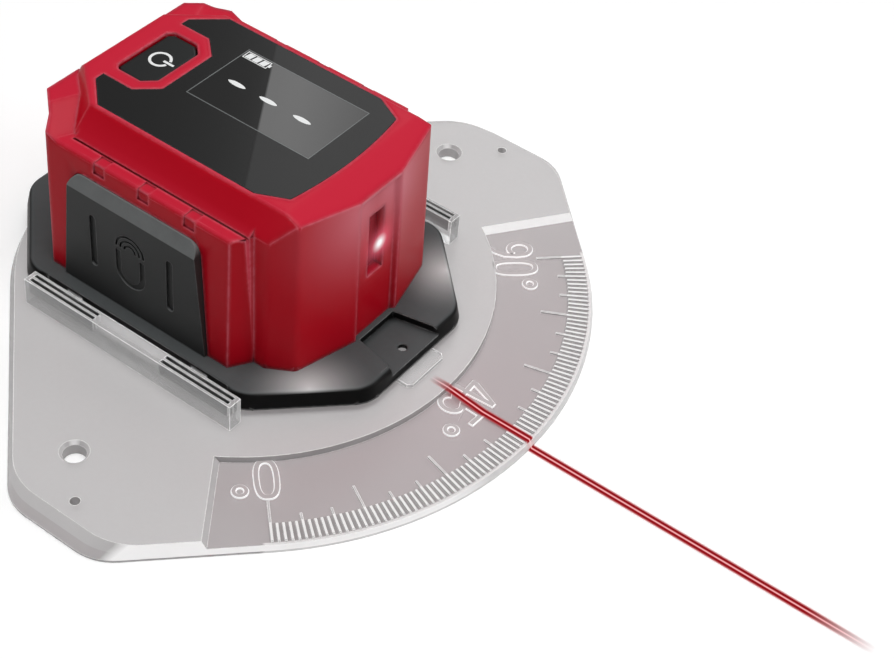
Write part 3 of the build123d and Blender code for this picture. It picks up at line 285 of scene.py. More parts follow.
# The plate's band is darker and faintly rosy, with painted shade between the marks, where it is darkest. The
# tops of the marks, the rim beyond them and the bevels that face one given way get painted highlights
def scaleTints(tree, shape, colour, light, scale):
    place = addNode(tree, "ShaderNodeTexCoord")
    spot = addNode(tree, "ShaderNodeSeparateXYZ")
    turned = addNode(tree, "ShaderNodeSeparateXYZ")
    flat = addNode(tree, "ShaderNodeVectorMath", {1: (1, 1, 0)}, operation="MULTIPLY")
    far = addNode(tree, "ShaderNodeVectorMath", operation="LENGTH")
    angle = addNode(tree, "ShaderNodeMath", operation="ARCTAN2")
    side = addNode(tree, "ShaderNodeMath", operation="ABSOLUTE")
    tree.links.new(place.outputs["Object"], spot.inputs[0])
    tree.links.new(place.outputs["Object"], flat.inputs[0])
    tree.links.new(flat.outputs[0], far.inputs[0])
    tree.links.new(spot.outputs["Y"], angle.inputs[0])
    tree.links.new(spot.outputs["X"], angle.inputs[1])
    tree.links.new(angle.outputs[0], side.inputs[0])
    tree.links.new(shape.outputs["Normal"], turned.inputs[0])
    sunk = rangeOf(tree, spot.outputs["Z"], scale["floor"] * mm, (scale["floor"] - 0.1) * mm, 0, 1)
    sunk = product(tree, sunk, rangeOf(tree, turned.outputs["Z"], 0.5, 0.9, 0, 1))
    rosy = rangeOf(tree, side.outputs[0], 0, 0.9, 0, 1)
    colour = blendColour(tree, sunk, colour, blendColour(tree, rosy, scale["rosy"], scale["low"]))
    outward = rangeOf(tree, far.outputs["Value"], (scale["marks"] - 0.1) * mm, scale["marks"] * mm, 0, 1)
    inward = rangeOf(tree, far.outputs["Value"], (scale["rim"] - 0.1) * mm, scale["rim"] * mm, 1, 0)
    marked, ringed = [[math.radians(angle) for angle in scale[key]] for key in ("marked", "ringed")]
    within = rangeOf(tree, side.outputs[0], *marked, 1, 0)
    # Painted shade between the marks
    shadedGaps = product(tree, product(tree, outward, inward), product(tree, within, sunk))
    colour = blendColour(tree, shadedGaps, colour, scale["gap"])
    around = rangeOf(tree, side.outputs[0], *ringed, 1, 0)
    # Painted highlights on the rim beyond the marks and on the marks' tops
    rimStart = (scale["rim"] + 0.1) * mm
    rim = rangeOf(tree, far.outputs["Value"], rimStart, rimStart + 0.2 * mm, 0, scale["rimHighlight"])
    topStart = (scale["floor"] + 0.03) * mm
    top = rangeOf(tree, spot.outputs["Z"], topStart, topStart + 0.07 * mm, 0, scale["topHighlight"])
    topHighlight = product(tree, product(tree, outward, inward), product(tree, within, top))
    # Painted highlight, white, on bevels that face one given way
    facing = addNode(tree, "ShaderNodeVectorMath", {1: scale["facing"]}, operation="DOT_PRODUCT")
    tree.links.new(shape.outputs["Normal"], facing.inputs[0])
    near = rangeOf(tree, facing.outputs["Value"], *scale["faced"], 0, scale["white"])
    gentle = rangeOf(tree, turned.outputs["Z"], *scale["sloped"], 0, 1)
    for source in (product(tree, rim, around), topHighlight, product(tree, near, gentle)):
        brighter = addNode(tree, "ShaderNodeMath", operation="MAXIMUM")
        tree.links.new(light, brighter.inputs[0])
        tree.links.new(source, brighter.inputs[1])
        light = brighter.outputs[0]
    return colour, light


# Clear moulded plastic, lightly frosted: painted highlights that glow, on outer edges or, where asked, on
# slopes; painted shade in inner corners; a faint painted glow of the body where asked
def clearFinish(name, look):
    sockets = {"IOR": look["ior"], "Transmission Weight": look["through"]}
    sockets["Emission Strength"] = look["highlightGlow"]
    material, tree, shader = startMaterial(name, sockets)
    grain = useGroup(tree, mouldGrain, Grain=look["grain"])
    edge = useGroup(tree, softEdge, Radius=look["radius"] * mm, Depth=look["depth"] * mm)
    shape = addNode(tree, "ShaderNodeNewGeometry")
    outside = rangeOf(tree, shape.outputs["Backfacing"], 0, 1, 1, 0)
    colour = blendColour(tree, grain.outputs["Height"], look["colour"], look["shade"])
    # Painted highlight on outer edges, or on sloped faces where a slope is given
    light = edge.outputs["Mask"]
    if "slope" in look:
        turned = addNode(tree, "ShaderNodeSeparateXYZ")
        tree.links.new(shape.outputs["True Normal"], turned.inputs[0])
        light = rangeOf(tree, turned.outputs["Z"], 0.98, 0.9, 0, look["slope"])
    if "scale" in look:
        colour, light = scaleTints(tree, shape, colour, light, look["scale"])
    # Painted shade in inner corners
    shadedCorners = product(tree, edge.outputs["HollowShade"], outside)
    colour = blendColour(tree, shadedCorners, colour, look["inner"])
    light = product(tree, light, outside)
    tree.links.new(blendColour(tree, light, colour, look["edge"]), shader.inputs["Base Color"])
    # The body's painted glow, and painted highlights that glow too
    paintedGlow = blendColour(tree, shadedCorners, look["paintedGlow"], (0, 0, 0))
    tree.links.new(blendColour(tree, light, paintedGlow, look["edge"]), shader.inputs["Emission Color"])
    tree.links.new(rangeOf(tree, grain.outputs["Height"], 0, 1, *look["rough"]), shader.inputs["Roughness"])
    relief = addNode(tree, "ShaderNodeBump", {"Strength": look["relief"], "Distance": reliefDepth})
    tree.links.new(grain.outputs["Height"], relief.inputs["Height"])
    tree.links.new(relief.outputs[0], shader.inputs["Normal"])
    return material


# Colours are linear values
redPlastic = mouldedFinish("redPlastic", {
    "colour": (0.50, 0.002, 0.013), "shade": (0.47, 0.001, 0.010), "wearAndHighlight": (0.85, 0.19, 0.25),
    "radius": 1.2, "hollow": (0.16, 0.0, 0.003), "depth": 1.6, "rough": (0.27, 0.33), "grain": 2600.0,
    "patch": 45.0, "relief": 0.008, "round": 2.0, "dustAndSheen": 0.5, "facing": 0.45, "even": 1.0,
    "dustAndSheenColour": (0.66, 0.03, 0.07), "sockets": {"Specular IOR Level": 0.13},
    "sheenSpot": {
        "centre": (38.0, 5.0, 45.0), "radius": 27.0, "colour": (0.80, 0.22, 0.27), "upward": (0.6, 0.2),
    },
})
blackBasePlastic = mouldedFinish("blackBasePlastic", {
    "colour": (0.007, 0.007, 0.007), "shade": (0.005, 0.005, 0.005), "wearAndHighlight": (0.36, 0.36, 0.36),
    "radius": 0.8, "hollow": (0.002, 0.002, 0.002), "depth": 2.0, "rough": (0.30, 0.38),
    "grain": 2200.0, "patch": 60.0, "relief": 0.02, "dustAndSheen": 1.0, "facing": 0.7, "even": 0.9,
    "dustAndSheenColour": (0.086, 0.092, 0.094), "sockets": {"Specular IOR Level": 0.07},
    "sheenSpot": {
        "centre": (39.5, 24.5, 9.4), "radius": 15.0, "colour": (0.62, 0.62, 0.62), "upward": (0.5, 0.9),
    },
})
padRubber = mouldedFinish("padRubber", {
    "colour": (0.032, 0.033, 0.033), "shade": (0.028, 0.029, 0.029), "wearAndHighlight": (0.16, 0.16, 0.16),
    "radius": 0.3, "hollow": (0.001, 0.001, 0.001), "depth": 1.2, "rough": (0.45, 0.55),
    "grain": 1900.0, "patch": 70.0, "relief": 0.03, "dustAndSheen": 1.3, "facing": 0.1, "even": 0.8,
    "dustAndSheenColour": (0.20, 0.21, 0.21), "sockets": {"Specular IOR Level": 0.3},
})
# Where the painted reflection on the panel and the screen starts, and its heading
reflectionStart = (-8.6, 20.8)
reflectionHeading = 32.5
panelGloss = mouldedFinish("panelGloss", {
    "colour": (0.014, 0.014, 0.014), "shade": (0.012, 0.012, 0.012), "wearAndHighlight": (0.12, 0.12, 0.12),
    "radius": 0.2, "hollow": (0.006, 0.006, 0.006), "depth": 0.8, "rough": (0.20, 0.26),
    "grain": 1500.0, "patch": 35.0, "relief": 0.002, "sockets": {"Specular IOR Level": 0.3},
    "reflectionBand": {
        "start": reflectionStart, "heading": reflectionHeading, "soft": 0.5, "reach": 22,
        "colour": (0.03, 0.03, 0.03),
    },
})
buttonGloss = mouldedFinish("buttonGloss", {
    "colour": (0.016, 0.017, 0.017), "shade": (0.013, 0.014, 0.014), "wearAndHighlight": (0.10, 0.10, 0.10),
    "radius": 0.3, "hollow": (0.004, 0.004, 0.004), "depth": 0.8, "rough": (0.26, 0.34),
    "grain": 2400.0, "patch": 80.0, "relief": 0.01, "sockets": {"Specular IOR Level": 0.3},
})
screenGloss = mouldedFinish("screenGloss", {
    "colour": (0.022, 0.022, 0.022), "shade": (0.018, 0.018, 0.018), "rough": (0.10, 0.14),
    "grain": 1200.0, "patch": 40.0, "relief": 0.001, "sockets": {"Specular IOR Level": 0.3},
    "reflectionBand": {
        "start": reflectionStart, "heading": reflectionHeading, "soft": 0.5, "reach": 32,
        "colour": (0.15, 0.15, 0.15),
    },
})
whiteInk = mouldedFinish("whiteInk", {
    "colour": (0.88, 0.89, 0.89), "shade": (0.80, 0.81, 0.81), "rough": (0.35, 0.45), "grain": 3000.0,
    "patch": 200.0, "relief": 0.05,
})
greyInk = mouldedFinish("greyInk", {
    "colour": (0.20, 0.21, 0.21), "shade": (0.13, 0.14, 0.14), "rough": (0.35, 0.45), "grain": 3000.0,
    "patch": 120.0, "relief": 0.05,
})
rubberBlack = mouldedFinish("rubberBlack", {
    "colour": (0.018, 0.018, 0.018), "shade": (0.028, 0.028, 0.028), "rough": (0.6, 0.75),
    "grain": 1500.0, "patch": 90.0, "relief": 0.3,
})
boardGreen = mouldedFinish("boardGreen", {
    "colour": (0.010, 0.10, 0.030), "shade": (0.006, 0.06, 0.018), "rough": (0.3, 0.42),
    "grain": 1800.0, "patch": 500.0, "relief": 0.2,
})
chipBlack = mouldedFinish("chipBlack", {
    "colour": (0.015, 0.015, 0.016), "shade": (0.03, 0.03, 0.03), "rough": (0.45, 0.6), "grain": 2600.0,
    "patch": 300.0, "relief": 0.25,
})
batteryWrap = mouldedFinish("batteryWrap", {
    "colour": (0.03, 0.10, 0.30), "shade": (0.02, 0.07, 0.24), "rough": (0.25, 0.4), "grain": 900.0,
    "patch": 120.0, "relief": 0.2,
})
leadJacket = mouldedFinish("leadJacket", {
    "colour": (0.40, 0.02, 0.02), "shade": (0.30, 0.015, 0.015), "rough": (0.35, 0.5), "grain": 2000.0,
    "patch": 300.0, "relief": 0.15,
})
steelDrawn = metalFinish("steelDrawn", {
    "colour": (0.55, 0.55, 0.56), "shade": (0.42, 0.42, 0.43), "rough": (0.25, 0.4),
    "stretch": (1, 1, 12),
})
magnetNickel = metalFinish("magnetNickel", {
    "colour": (0.62, 0.60, 0.56), "shade": (0.5, 0.48, 0.45), "rough": (0.15, 0.28),
    "stretch": (1, 8, 1),
})
brassTurned = metalFinish("brassTurned", {
    "colour": (0.72, 0.50, 0.18), "shade": (0.58, 0.38, 0.12), "rough": (0.2, 0.32),
    "stretch": (14, 1, 1),
})
aluminiumMilled = metalFinish("aluminiumMilled", {
    "colour": (0.75, 0.76, 0.77), "shade": (0.62, 0.63, 0.64), "rough": (0.28, 0.42),
    "stretch": (1, 12, 1),
})
# In the clear finishes, edge is the colour of painted highlights and inner that of painted shade in inner
# corners; in the scale, gap is painted shade between the marks and white a painted highlight
clearPlate = clearFinish("clearPlate", {
    "colour": (0.82, 0.815, 0.815), "shade": (0.79, 0.78, 0.78), "edge": (1.0, 1.0, 1.0),
    "inner": (0.46, 0.43, 0.43), "rough": (0.25, 0.28), "grain": 900.0, "relief": 0.005, "ior": 1.49,
    "through": 0.6, "radius": 0.3, "depth": 0.8, "paintedGlow": (0, 0, 0), "highlightGlow": 0.45,
    "scale": {
        "floor": 2.0, "low": (0.60, 0.56, 0.565), "rosy": (0.58, 0.51, 0.52), "gap": (0.42, 0.40, 0.40),
        "marks": 75.0, "rim": 79.7, "rimHighlight": 0.45, "topHighlight": 0.6, "facing": (0.707, -0.707, 0),
        "white": 0.95, "marked": (45.3, 45.4), "ringed": (46, 46.5), "faced": (0.68, 0.82),
        "sloped": (0.15, 0.3),
    },
})
raisedSign = clearFinish("raisedSign", {
    "colour": (0.52, 0.48, 0.485), "shade": (0.50, 0.46, 0.465), "edge": (1.0, 1.0, 1.0),
    "inner": (0.40, 0.37, 0.37), "rough": (0.25, 0.28), "grain": 900.0, "relief": 0.005, "ior": 1.49,
    "through": 0.0, "radius": 0.3, "depth": 0.4, "paintedGlow": (0, 0, 0), "highlightGlow": 0.5, "slope": 0.65,
})
clearCradle = clearFinish("clearCradle", {
    "colour": (0.82, 0.82, 0.82), "shade": (0.78, 0.78, 0.78), "edge": (1.0, 1.0, 1.0),
    "inner": (0.005, 0.005, 0.005), "rough": (0.08, 0.14), "grain": 900.0, "relief": 0.005, "ior": 1.2,
    "through": 0.85, "radius": 0.25, "depth": 2.2, "paintedGlow": (0.08, 0.08, 0.08), "highlightGlow": 0.7,
})
clearLens = clearFinish("clearLens", {
    "colour": (0.95, 0.95, 0.95), "shade": (0.92, 0.92, 0.92), "edge": (1.0, 1.0, 1.0),
    "inner": (0.8, 0.8, 0.8), "rough": (0.02, 0.05), "grain": 500.0, "relief": 0.02, "ior": 1.52,
    "through": 1.0, "radius": 0.2, "depth": 1.0, "paintedGlow": (0, 0, 0), "highlightGlow": 0.0,
})
windowPane = clearFinish("windowPane", {
    "colour": (0.8, 0.12, 0.16), "shade": (0.7, 0.08, 0.12), "edge": (0.9, 0.4, 0.4),
    "inner": (0.4, 0.03, 0.05), "rough": (0.1, 0.16), "grain": 700.0, "relief": 0.05, "ior": 1.49,
    "through": 0.6, "radius": 0.2, "depth": 1.0, "paintedGlow": (0, 0, 0), "highlightGlow": 0.0,
})
print("stage 2: finishes are made")


# Finish of each CAD node
finishOf = {
    "protractor_plate": clearPlate, "pivot_washer": steelDrawn, "pivot_screw": steelDrawn,
    "cradle": clearCradle, "base_shell": blackBasePlastic, "housing_shell": redPlastic,
    "side_pad_near": padRubber, "side_pad_far": padRubber, "side_magnets": magnetNickel,
    "top_panel": panelGloss, "power_button": buttonGloss, "button_boot": rubberBlack,
    "tact_switch": chipBlack, "screen_gasket": rubberBlack, "screen_module": screenGloss,
    "screen_connector": rubberBlack, "main_board": boardGreen, "processor_chip": chipBlack,
    "tilt_sensor": chipBlack, "board_screws": steelDrawn, "battery_bed": rubberBlack,
    "battery_pack": batteryWrap, "chassis_plate": aluminiumMilled, "chassis_screws": steelDrawn,
    "charge_board": boardGreen, "charge_port": steelDrawn, "buzzer": chipBlack,
    "laser_bracket": aluminiumMilled, "bracket_screws": steelDrawn, "laser_barrel": brassTurned,
    "laser_diode": brassTurned, "line_lens": clearLens, "laser_window": windowPane,
    "housing_screws": steelDrawn, "battery_lead": leadJacket, "laser_lead": leadJacket,
}


def setFinish(piece, material):
    piece.data.materials.clear()
    piece.data.materials.append(material)


for nodeName, material in finishOf.items():
    setFinish(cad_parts[nodeName], material)


def addPiece(name, mesh, material, body):
    piece = bpy.data.objects.new(name, mesh)
    scene.collection.objects.link(piece)
    setFinish(piece, material)
    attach(piece, body)
    return piece


def shadeByAngle(mesh, degrees):
    mesh.shade_smooth()
    mesh.set_sharp_from_angle(angle=math.radians(degrees))


weldWithin = 0.002 * mm
flatWithin = math.radians(0.4)


# A copy of a CAD piece with its sharp edges bevelled, which stands for it. The width is what is asked for:
# clamping leaves almost none of it on the housing and the base, whose soft look comes from their finish
def bevelledPiece(node, name, look, body):
    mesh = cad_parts[node].data.copy()
    solid = bmesh.new()
    solid.from_mesh(mesh)
    bmesh.ops.remove_doubles(solid, verts=solid.verts, dist=weldWithin)
    bmesh.ops.dissolve_limit(solid, angle_limit=flatWithin, verts=solid.verts, edges=solid.edges)
    edges = []
    for edge in solid.edges:
        if edge.is_manifold and edge.calc_face_angle() > math.radians(look["angle"]):
            if edge.calc_length() > look["shortest"] * mm:
                edges.append(edge)
    bmesh.ops.bevel(
        solid, geom=edges, offset=look["width"] * mm, offset_type="OFFSET", segments=look["segments"],
        profile=0.5, affect="EDGES", clamp_overlap=True, loop_slide=True,
    )
    print("  ", name, "bevelled", len(edges), "edges, asked width", look["width"], "mm before clamping")
    bmesh.ops.triangulate(solid, faces=[face for face in solid.faces if len(face.verts) > 4])
    solid.to_mesh(mesh)
    solid.free()
    shadeByAngle(mesh, look["smooth"])
    piece = addPiece(name, mesh, finishOf[node], body)
    flats = piece.modifiers.new("evenFlats", "WEIGHTED_NORMAL")
    flats.keep_sharp = True
    flats.weight = 100
    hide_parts(node)


housingLook = {"angle": 24, "segments": 4, "smooth": 34, "width": 0.7, "shortest": 1.5}
bevelledPiece("housing_shell", "housing", housingLook, "laser_unit")
baseLook = {"angle": 20, "segments": 3, "smooth": 34, "width": 0.4, "shortest": 1.5}
bevelledPiece("base_shell", "base", baseLook, "laser_unit")
buttonLook = {"angle": 20, "segments": 3, "smooth": 34, "width": 0.25, "shortest": 1.5}
bevelledPiece("power_button", "button", buttonLook, "button")

# The rubber boot under the button, as a copy with a mesh of its own
boot = addPiece("buttonBoot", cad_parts["button_boot"].data.copy(), rubberBlack, "laser_unit")
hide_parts("button_boot")
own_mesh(boot)
print("stage 3: moulded pieces are bevelled")


# Thin raised print: outlines in plan, and a layer from under to over the face at height base
def slabMesh(name, outlines, base, layer):
    low, high = [base + level for level in layer]
    solid = bmesh.new()
    for outline in outlines:
        ring = [solid.verts.new((x * mm, y * mm, low * mm)) for x, y in outline]
        face = solid.faces.new(ring)
        raised = bmesh.ops.extrude_face_region(solid, geom=[face])
        lifted = [item for item in raised["geom"] if isinstance(item, bmesh.types.BMVert)]
        bmesh.ops.translate(solid, vec=(0, 0, (high - low) * mm), verts=lifted)
    bmesh.ops.recalc_face_normals(solid, faces=solid.faces)
    mesh = bpy.data.meshes.new(name)
    solid.to_mesh(mesh)
    solid.free()
    return mesh


def arcPoints(centre, radius, start, stop, steps):
    points = []
    for step in range(steps + 1):
        angle = math.radians(start + (stop - start) * step / steps)
        points.append((centre[0] + radius * math.cos(angle), centre[1] + radius * math.sin(angle)))
    return points


def ringSector(centre, inner, outer, start, stop, steps):
    return arcPoints(centre, outer, start, stop, steps) + arcPoints(centre, inner, stop, start, steps)


def rectangle(lowX, lowY, highX, highY):
    return [(lowX, lowY), (highX, lowY), (highX, highY), (lowX, highY)]


# Screen under the panel: dark glass area, its outline, three dashes and the battery sign
screenLook = {
    "area": (-11.3, -5.1, 21.7, 15.0), "line": 0.22, "dashes": [(-5.3, 3.9), (3.4, 3.9), (12.7, 3.8)],
    "dashLength": 4.8, "dashWidth": 1.35, "battery": (-11.0, 12.2, 6.6, 2.5), "batteryRim": 0.22,
    "cells": 3, "slant": 0.6, "tip": 0.5, "dashSteps": 24, "dashSquare": 1.3, "glass": (-0.1, 0.015),
    "outline": (-0.1, 0.02), "print": (-0.05, 0.04),
}
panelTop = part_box("top_panel")[1].z / mm
lowX, lowY, highX, highY = screenLook["area"]
line = screenLook["line"]
screenMesh = slabMesh("screenArea", [rectangle(lowX, lowY, highX, highY)], panelTop, screenLook["glass"])
addPiece("screenArea", screenMesh, screenGloss, "laser_unit")
frameStrips = [
    rectangle(lowX - line, lowY - line, highX + line, lowY),
    rectangle(lowX - line, highY, highX + line, highY + line),
    rectangle(lowX - line, lowY, lowX, highY),
    rectangle(highX, lowY, highX + line, highY),
]
frameMesh = slabMesh("screenOutline", frameStrips, panelTop, screenLook["outline"])
addPiece("screenOutline", frameMesh, greyInk, "laser_unit")


def dashOutline(centre):
    length = screenLook["dashLength"]
    width = screenLook["dashWidth"]
    points = []
    for step in range(screenLook["dashSteps"]):
        angle = 2 * math.pi * step / screenLook["dashSteps"]
        bulge = abs(math.sin(angle)) ** screenLook["dashSquare"] * math.copysign(1, math.sin(angle))
        points.append((centre[0] + length / 2 * math.cos(angle), centre[1] + width / 2 * bulge))
    return points


marks = [dashOutline(spot) for spot in screenLook["dashes"]]
marksMesh = slabMesh("screenDashes", marks, panelTop, screenLook["print"])
addPiece("screenDashes", marksMesh, whiteInk, "laser_unit")

left, bottom, length, height = screenLook["battery"]
rim = screenLook["batteryRim"]
cell = (length - 5 * rim) / screenLook["cells"]
slant = screenLook["slant"]
batteryBars = [
    rectangle(left, bottom, left + length, bottom + rim),
    rectangle(left, bottom + height - rim, left + length, bottom + height),
    rectangle(left, bottom + rim, left + rim, bottom + height - rim),
    rectangle(left + length - rim, bottom + rim, left + length, bottom + height - rim),
    rectangle(left + length, bottom + height * 0.3, left + length + screenLook["tip"], bottom + height * 0.7),
]
for index in range(screenLook["cells"]):
    start = left + 2 * rim + index * (cell + rim / 2)
    low = bottom + 1.6 * rim
    high = bottom + height - 1.6 * rim
    top = [(start + cell, high), (start + slant / 2, high)]
    batteryBars.append([(start, low), (start + cell - slant / 2, low)] + top)
batteryMesh = slabMesh("batterySign", batteryBars, panelTop, screenLook["print"])
addPiece("batterySign", batteryMesh, whiteInk, "laser_unit")

# Power sign on the button
signLook = {
    "centre": (-23.6, 0.0), "inner": 2.0, "outer": 2.65, "gap": 34, "steps": 40, "barStart": 0.9,
    "bar": (0.33, 2.9), "print": (-0.05, 0.03),
}
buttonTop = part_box("power_button")[1].z / mm
gapHalf = signLook["gap"] / 2
centreX, centreY = signLook["centre"]
barHalf, barLength = signLook["bar"]
barX = centreX + signLook["barStart"]
ringSize = (signLook["inner"], signLook["outer"])
powerSign = [
    ringSector(signLook["centre"], *ringSize, gapHalf, 360 - gapHalf, signLook["steps"]),
    rectangle(barX, centreY - barHalf, barX + barLength, centreY + barHalf),
]
powerMesh = slabMesh("powerSign", powerSign, buttonTop, signLook["print"])
addPiece("powerSign", powerMesh, whiteInk, "button")
print("stage 4: screen and button signs are drawn")


# Raised numbers of the scale: tops outwards, read clockwise
numberLook = {
    "height": 11.2, "width": 5.6, "stroke": 1.4, "raise": 0.4, "edge": 0.22, "radius": 63.3,
    "degreeRadius": 66.4, "degree": 3.8, "floor": 1.8, "sink": 0.1,
}


def ovalPath(centre, width, height, start=0, stop=360, steps=32, square=1.0):
    points = []
    for step in range(steps + (stop - start < 360)):
        angle = math.radians(start + (stop - start) * step / steps)
        across = math.copysign(abs(math.cos(angle)) ** square, math.cos(angle))
        along = math.copysign(abs(math.sin(angle)) ** square, math.sin(angle))
        points.append((centre[0] + width / 2 * across, centre[1] + height / 2 * along))
    return points


# Outline of a stroke drawn along an open path, with mitred turns
def strokeOutline(path, stroke):
    left = []
    right = []
    for index, point in enumerate(path):
        before = Vector(path[max(index - 1, 0)])
        after = Vector(path[min(index + 1, len(path) - 1)])
        entering = (Vector(point) - before).normalized() if index else (after - Vector(point)).normalized()
        leaving = (after - Vector(point)).normalized() if index < len(path) - 1 else entering
        along = (entering + leaving).normalized()
        side = Vector((-along.y, along.x)) * stroke / 2 / max(0.6, entering.dot(along))
        left.append(tuple(Vector(point) + side))
        right.append(tuple(Vector(point) - side))
    return left + right[::-1]


# Each sign is a list of closed outlines; an outline inside another is a hole
def signOutlines(sign):
    wide = numberLook["width"]
    tall = numberLook["height"]
    stroke = numberLook["stroke"]
    half = tall / 2
    if sign == "0":
        outer = ovalPath((0, 0), wide, tall, square=0.75)
        return [outer, ovalPath((0, 0), wide - 2 * stroke, tall - 2 * stroke, square=0.75)]
    if sign == "degree":
        size = numberLook["degree"]
        return [ovalPath((0, 0), size, size), ovalPath((0, 0), size - 1.7 * stroke, size - 1.7 * stroke)]
    if sign == "4":
        stem = wide * 0.2
        low = -half * 0.42
        outer = [
            (stem - stroke / 2, -half), (stem + stroke / 2, -half), (stem + stroke / 2, low), (wide / 2, low),
            (wide / 2, low + stroke), (stem + stroke / 2, low + stroke), (stem + stroke / 2, half),
            (stem - stroke / 2, half), (-wide / 2, low + stroke), (-wide / 2, low), (stem - stroke / 2, low),
        ]
        hole = [
            (stem - stroke / 2, low + stroke), (stem - stroke / 2, half - 2 * stroke),
            (-wide / 2 + 1.2 * stroke, low + stroke),
        ]
        return [outer, hole]
    reach = (wide - stroke) / 2
    top = half - stroke / 2
    if sign == "5":
        bowl = ovalPath((-0.1, -half * 0.36), 2 * reach, tall * 0.58 - stroke, -150, 128, 20)
        return [strokeOutline(bowl + [(-reach + 0.5, top), (reach, top)], stroke)]
    tail = [(-reach * 0.7, -top), (reach * 0.1, -top * 0.75)]
    tail += [(reach * 0.75, -top * 0.35), (reach, half * 0.2)]
    loop = ovalPath((0, half * 0.42), 2 * reach, tall * 0.58 - stroke, 15, 318, 26)
    return [strokeOutline(tail + loop, stroke)]


def signMesh(name, outlines, placing):
    curve = bpy.data.curves.new(name, "CURVE")
    curve.dimensions = "2D"
    curve.fill_mode = "BOTH"
    curve.extrude = (numberLook["raise"] / 2 + numberLook["sink"] - numberLook["edge"]) * mm
    curve.bevel_depth = numberLook["edge"] * mm
    curve.bevel_resolution = 0
    curve.offset = -numberLook["edge"] * mm
    for outline in outlines:
        spline = curve.splines.new("POLY")
        spline.points.add(len(outline) - 1)
        for point, (x, y) in zip(spline.points, outline):
            point.co = (x * mm, y * mm, 0, 1)
        spline.use_cyclic_u = True
    drawn = bpy.data.objects.new(name + "Drawn", curve)
    mesh = bpy.data.meshes.new_from_object(drawn)
    bpy.data.objects.remove(drawn)
    bpy.data.curves.remove(curve)
    mesh.name = name
    mesh.transform(placing)
    shadeByAngle(mesh, 40)
    return mesh


def placeOnScale(degrees, radius):
    outward = Vector((math.cos(math.radians(degrees)), math.sin(math.radians(degrees)), 0))
    reading = Vector((outward.y, -outward.x, 0))
    middle = numberLook["floor"] + numberLook["raise"] / 2 - numberLook["sink"]
    spot = outward * radius + Vector((0, 0, middle))
    turn = Matrix((reading, outward, Vector((0, 0, 1)))).transposed().to_4x4()
    return Matrix.Translation(spot * mm) @ turn


numberSigns = [
    ("zeroMark", [("0", -44.8), ("degree", -49.7)]),
    ("middleMark", [("4", 3.6), ("5", -2.2), ("degree", -7.4)]),
    ("ninetyMark", [("9", 48.0), ("0", 42.5), ("degree", 37.6)]),
]
for name, signs in numberSigns:
    for index, (sign, degrees) in enumerate(signs):
        radius = numberLook["degreeRadius"] if sign == "degree" else numberLook["radius"]
        placing = placeOnScale(degrees, radius)
        pieceName = f"{name}{index + 1}"
        mesh = signMesh(pieceName, signOutlines(sign), placing)
        addPiece(pieceName, mesh, raisedSign, "plate")
print("stage 5: the scale is numbered")


# The laser's light: its line on the plate and the floor, and the glow in the window
beamLook = {
    "path": [(53.5, 3.56), (58.5, 3.50), (68.0, 2.26), (80.3, 2.26), (81.1, 0.06), (346.0, 0.06)],
    "half": 1.3, "core": (1.0, 0.45, 0.47), "side": (0.30, 0.008, 0.012), "halo": (0.55, 0.03, 0.05),
    "coreEdge": (0.08, 0.26), "sideEdge": (0.75, 1.1), "haloEdge": (0.75, 1.3), "begin": (54.0, 60.0),
    "end": (148.0, 164.0),
}
glowLook = {
    "centre": (37.55, 33.0), "half": (7, 8), "core": (1, 1, 1), "colour": (0.95, 0.16, 0.24),
    "near": (0.6, 2.6), "wide": (0.6, 8.0),
}
glowX, glowZ = glowLook["centre"]


def inMetres(sizes):
    return [size * mm for size in sizes]


# A sheet of light, clear where it doesn't shine: build sets its colour and how much of it shows
def lightMaterial(name, build):
    material = bpy.data.materials.new(name)
    material.use_nodes = True
    tree = material.node_tree
    tree.nodes.clear()
    place = addNode(tree, "ShaderNodeTexCoord")
    shine = addNode(tree, "ShaderNodeEmission")
    clear = addNode(tree, "ShaderNodeBsdfTransparent")
    mix = addNode(tree, "ShaderNodeMixShader")
    output = addNode(tree, "ShaderNodeOutputMaterial")
    colour, share = build(tree, place.outputs["Object"])
    tree.links.new(colour, shine.inputs["Color"])
    tree.links.new(share, mix.inputs[0])
    tree.links.new(clear.outputs[0], mix.inputs[1])
    tree.links.new(shine.outputs[0], mix.inputs[2])
    tree.links.new(mix.outputs[0], output.inputs[0])
    return material


def buildBeam(tree, place):
    spread = addNode(tree, "ShaderNodeSeparateXYZ")
    away = addNode(tree, "ShaderNodeMath", operation="ABSOLUTE")
    tree.links.new(place, spread.inputs[0])
    tree.links.new(spread.outputs["Y"], away.inputs[0])
    ring = rangeOf(tree, away.outputs[0], *inMetres(beamLook["coreEdge"]), 0, 1)
    inner = blendColour(tree, ring, beamLook["core"], beamLook["side"])
    rim = rangeOf(tree, away.outputs[0], *inMetres(beamLook["sideEdge"]), 0, 1)
    edge = rangeOf(tree, away.outputs[0], *inMetres(beamLook["haloEdge"]), 1, 0)
    begin = rangeOf(tree, spread.outputs["X"], *inMetres(beamLook["begin"]), 0, 1)
    end = rangeOf(tree, spread.outputs["X"], *inMetres(beamLook["end"]), 1, 0)
    share = product(tree, edge, product(tree, begin, end))
    return blendColour(tree, rim, inner, beamLook["halo"]), share


def buildGlow(tree, place):
    middle = addNode(tree, "ShaderNodeVectorMath", operation="SUBTRACT")
    middle.inputs[1].default_value = (glowX * mm, 0, glowZ * mm)
    away = addNode(tree, "ShaderNodeVectorMath", operation="LENGTH")
    tree.links.new(place, middle.inputs[0])
    tree.links.new(middle.outputs[0], away.inputs[0])
    near = rangeOf(tree, away.outputs["Value"], *inMetres(glowLook["near"]), 0, 1)
    wide = rangeOf(tree, away.outputs["Value"], *inMetres(glowLook["wide"]), 1, 0)
    share = product(tree, product(tree, wide, wide), wide)
    return blendColour(tree, near, glowLook["core"], glowLook["colour"]), share


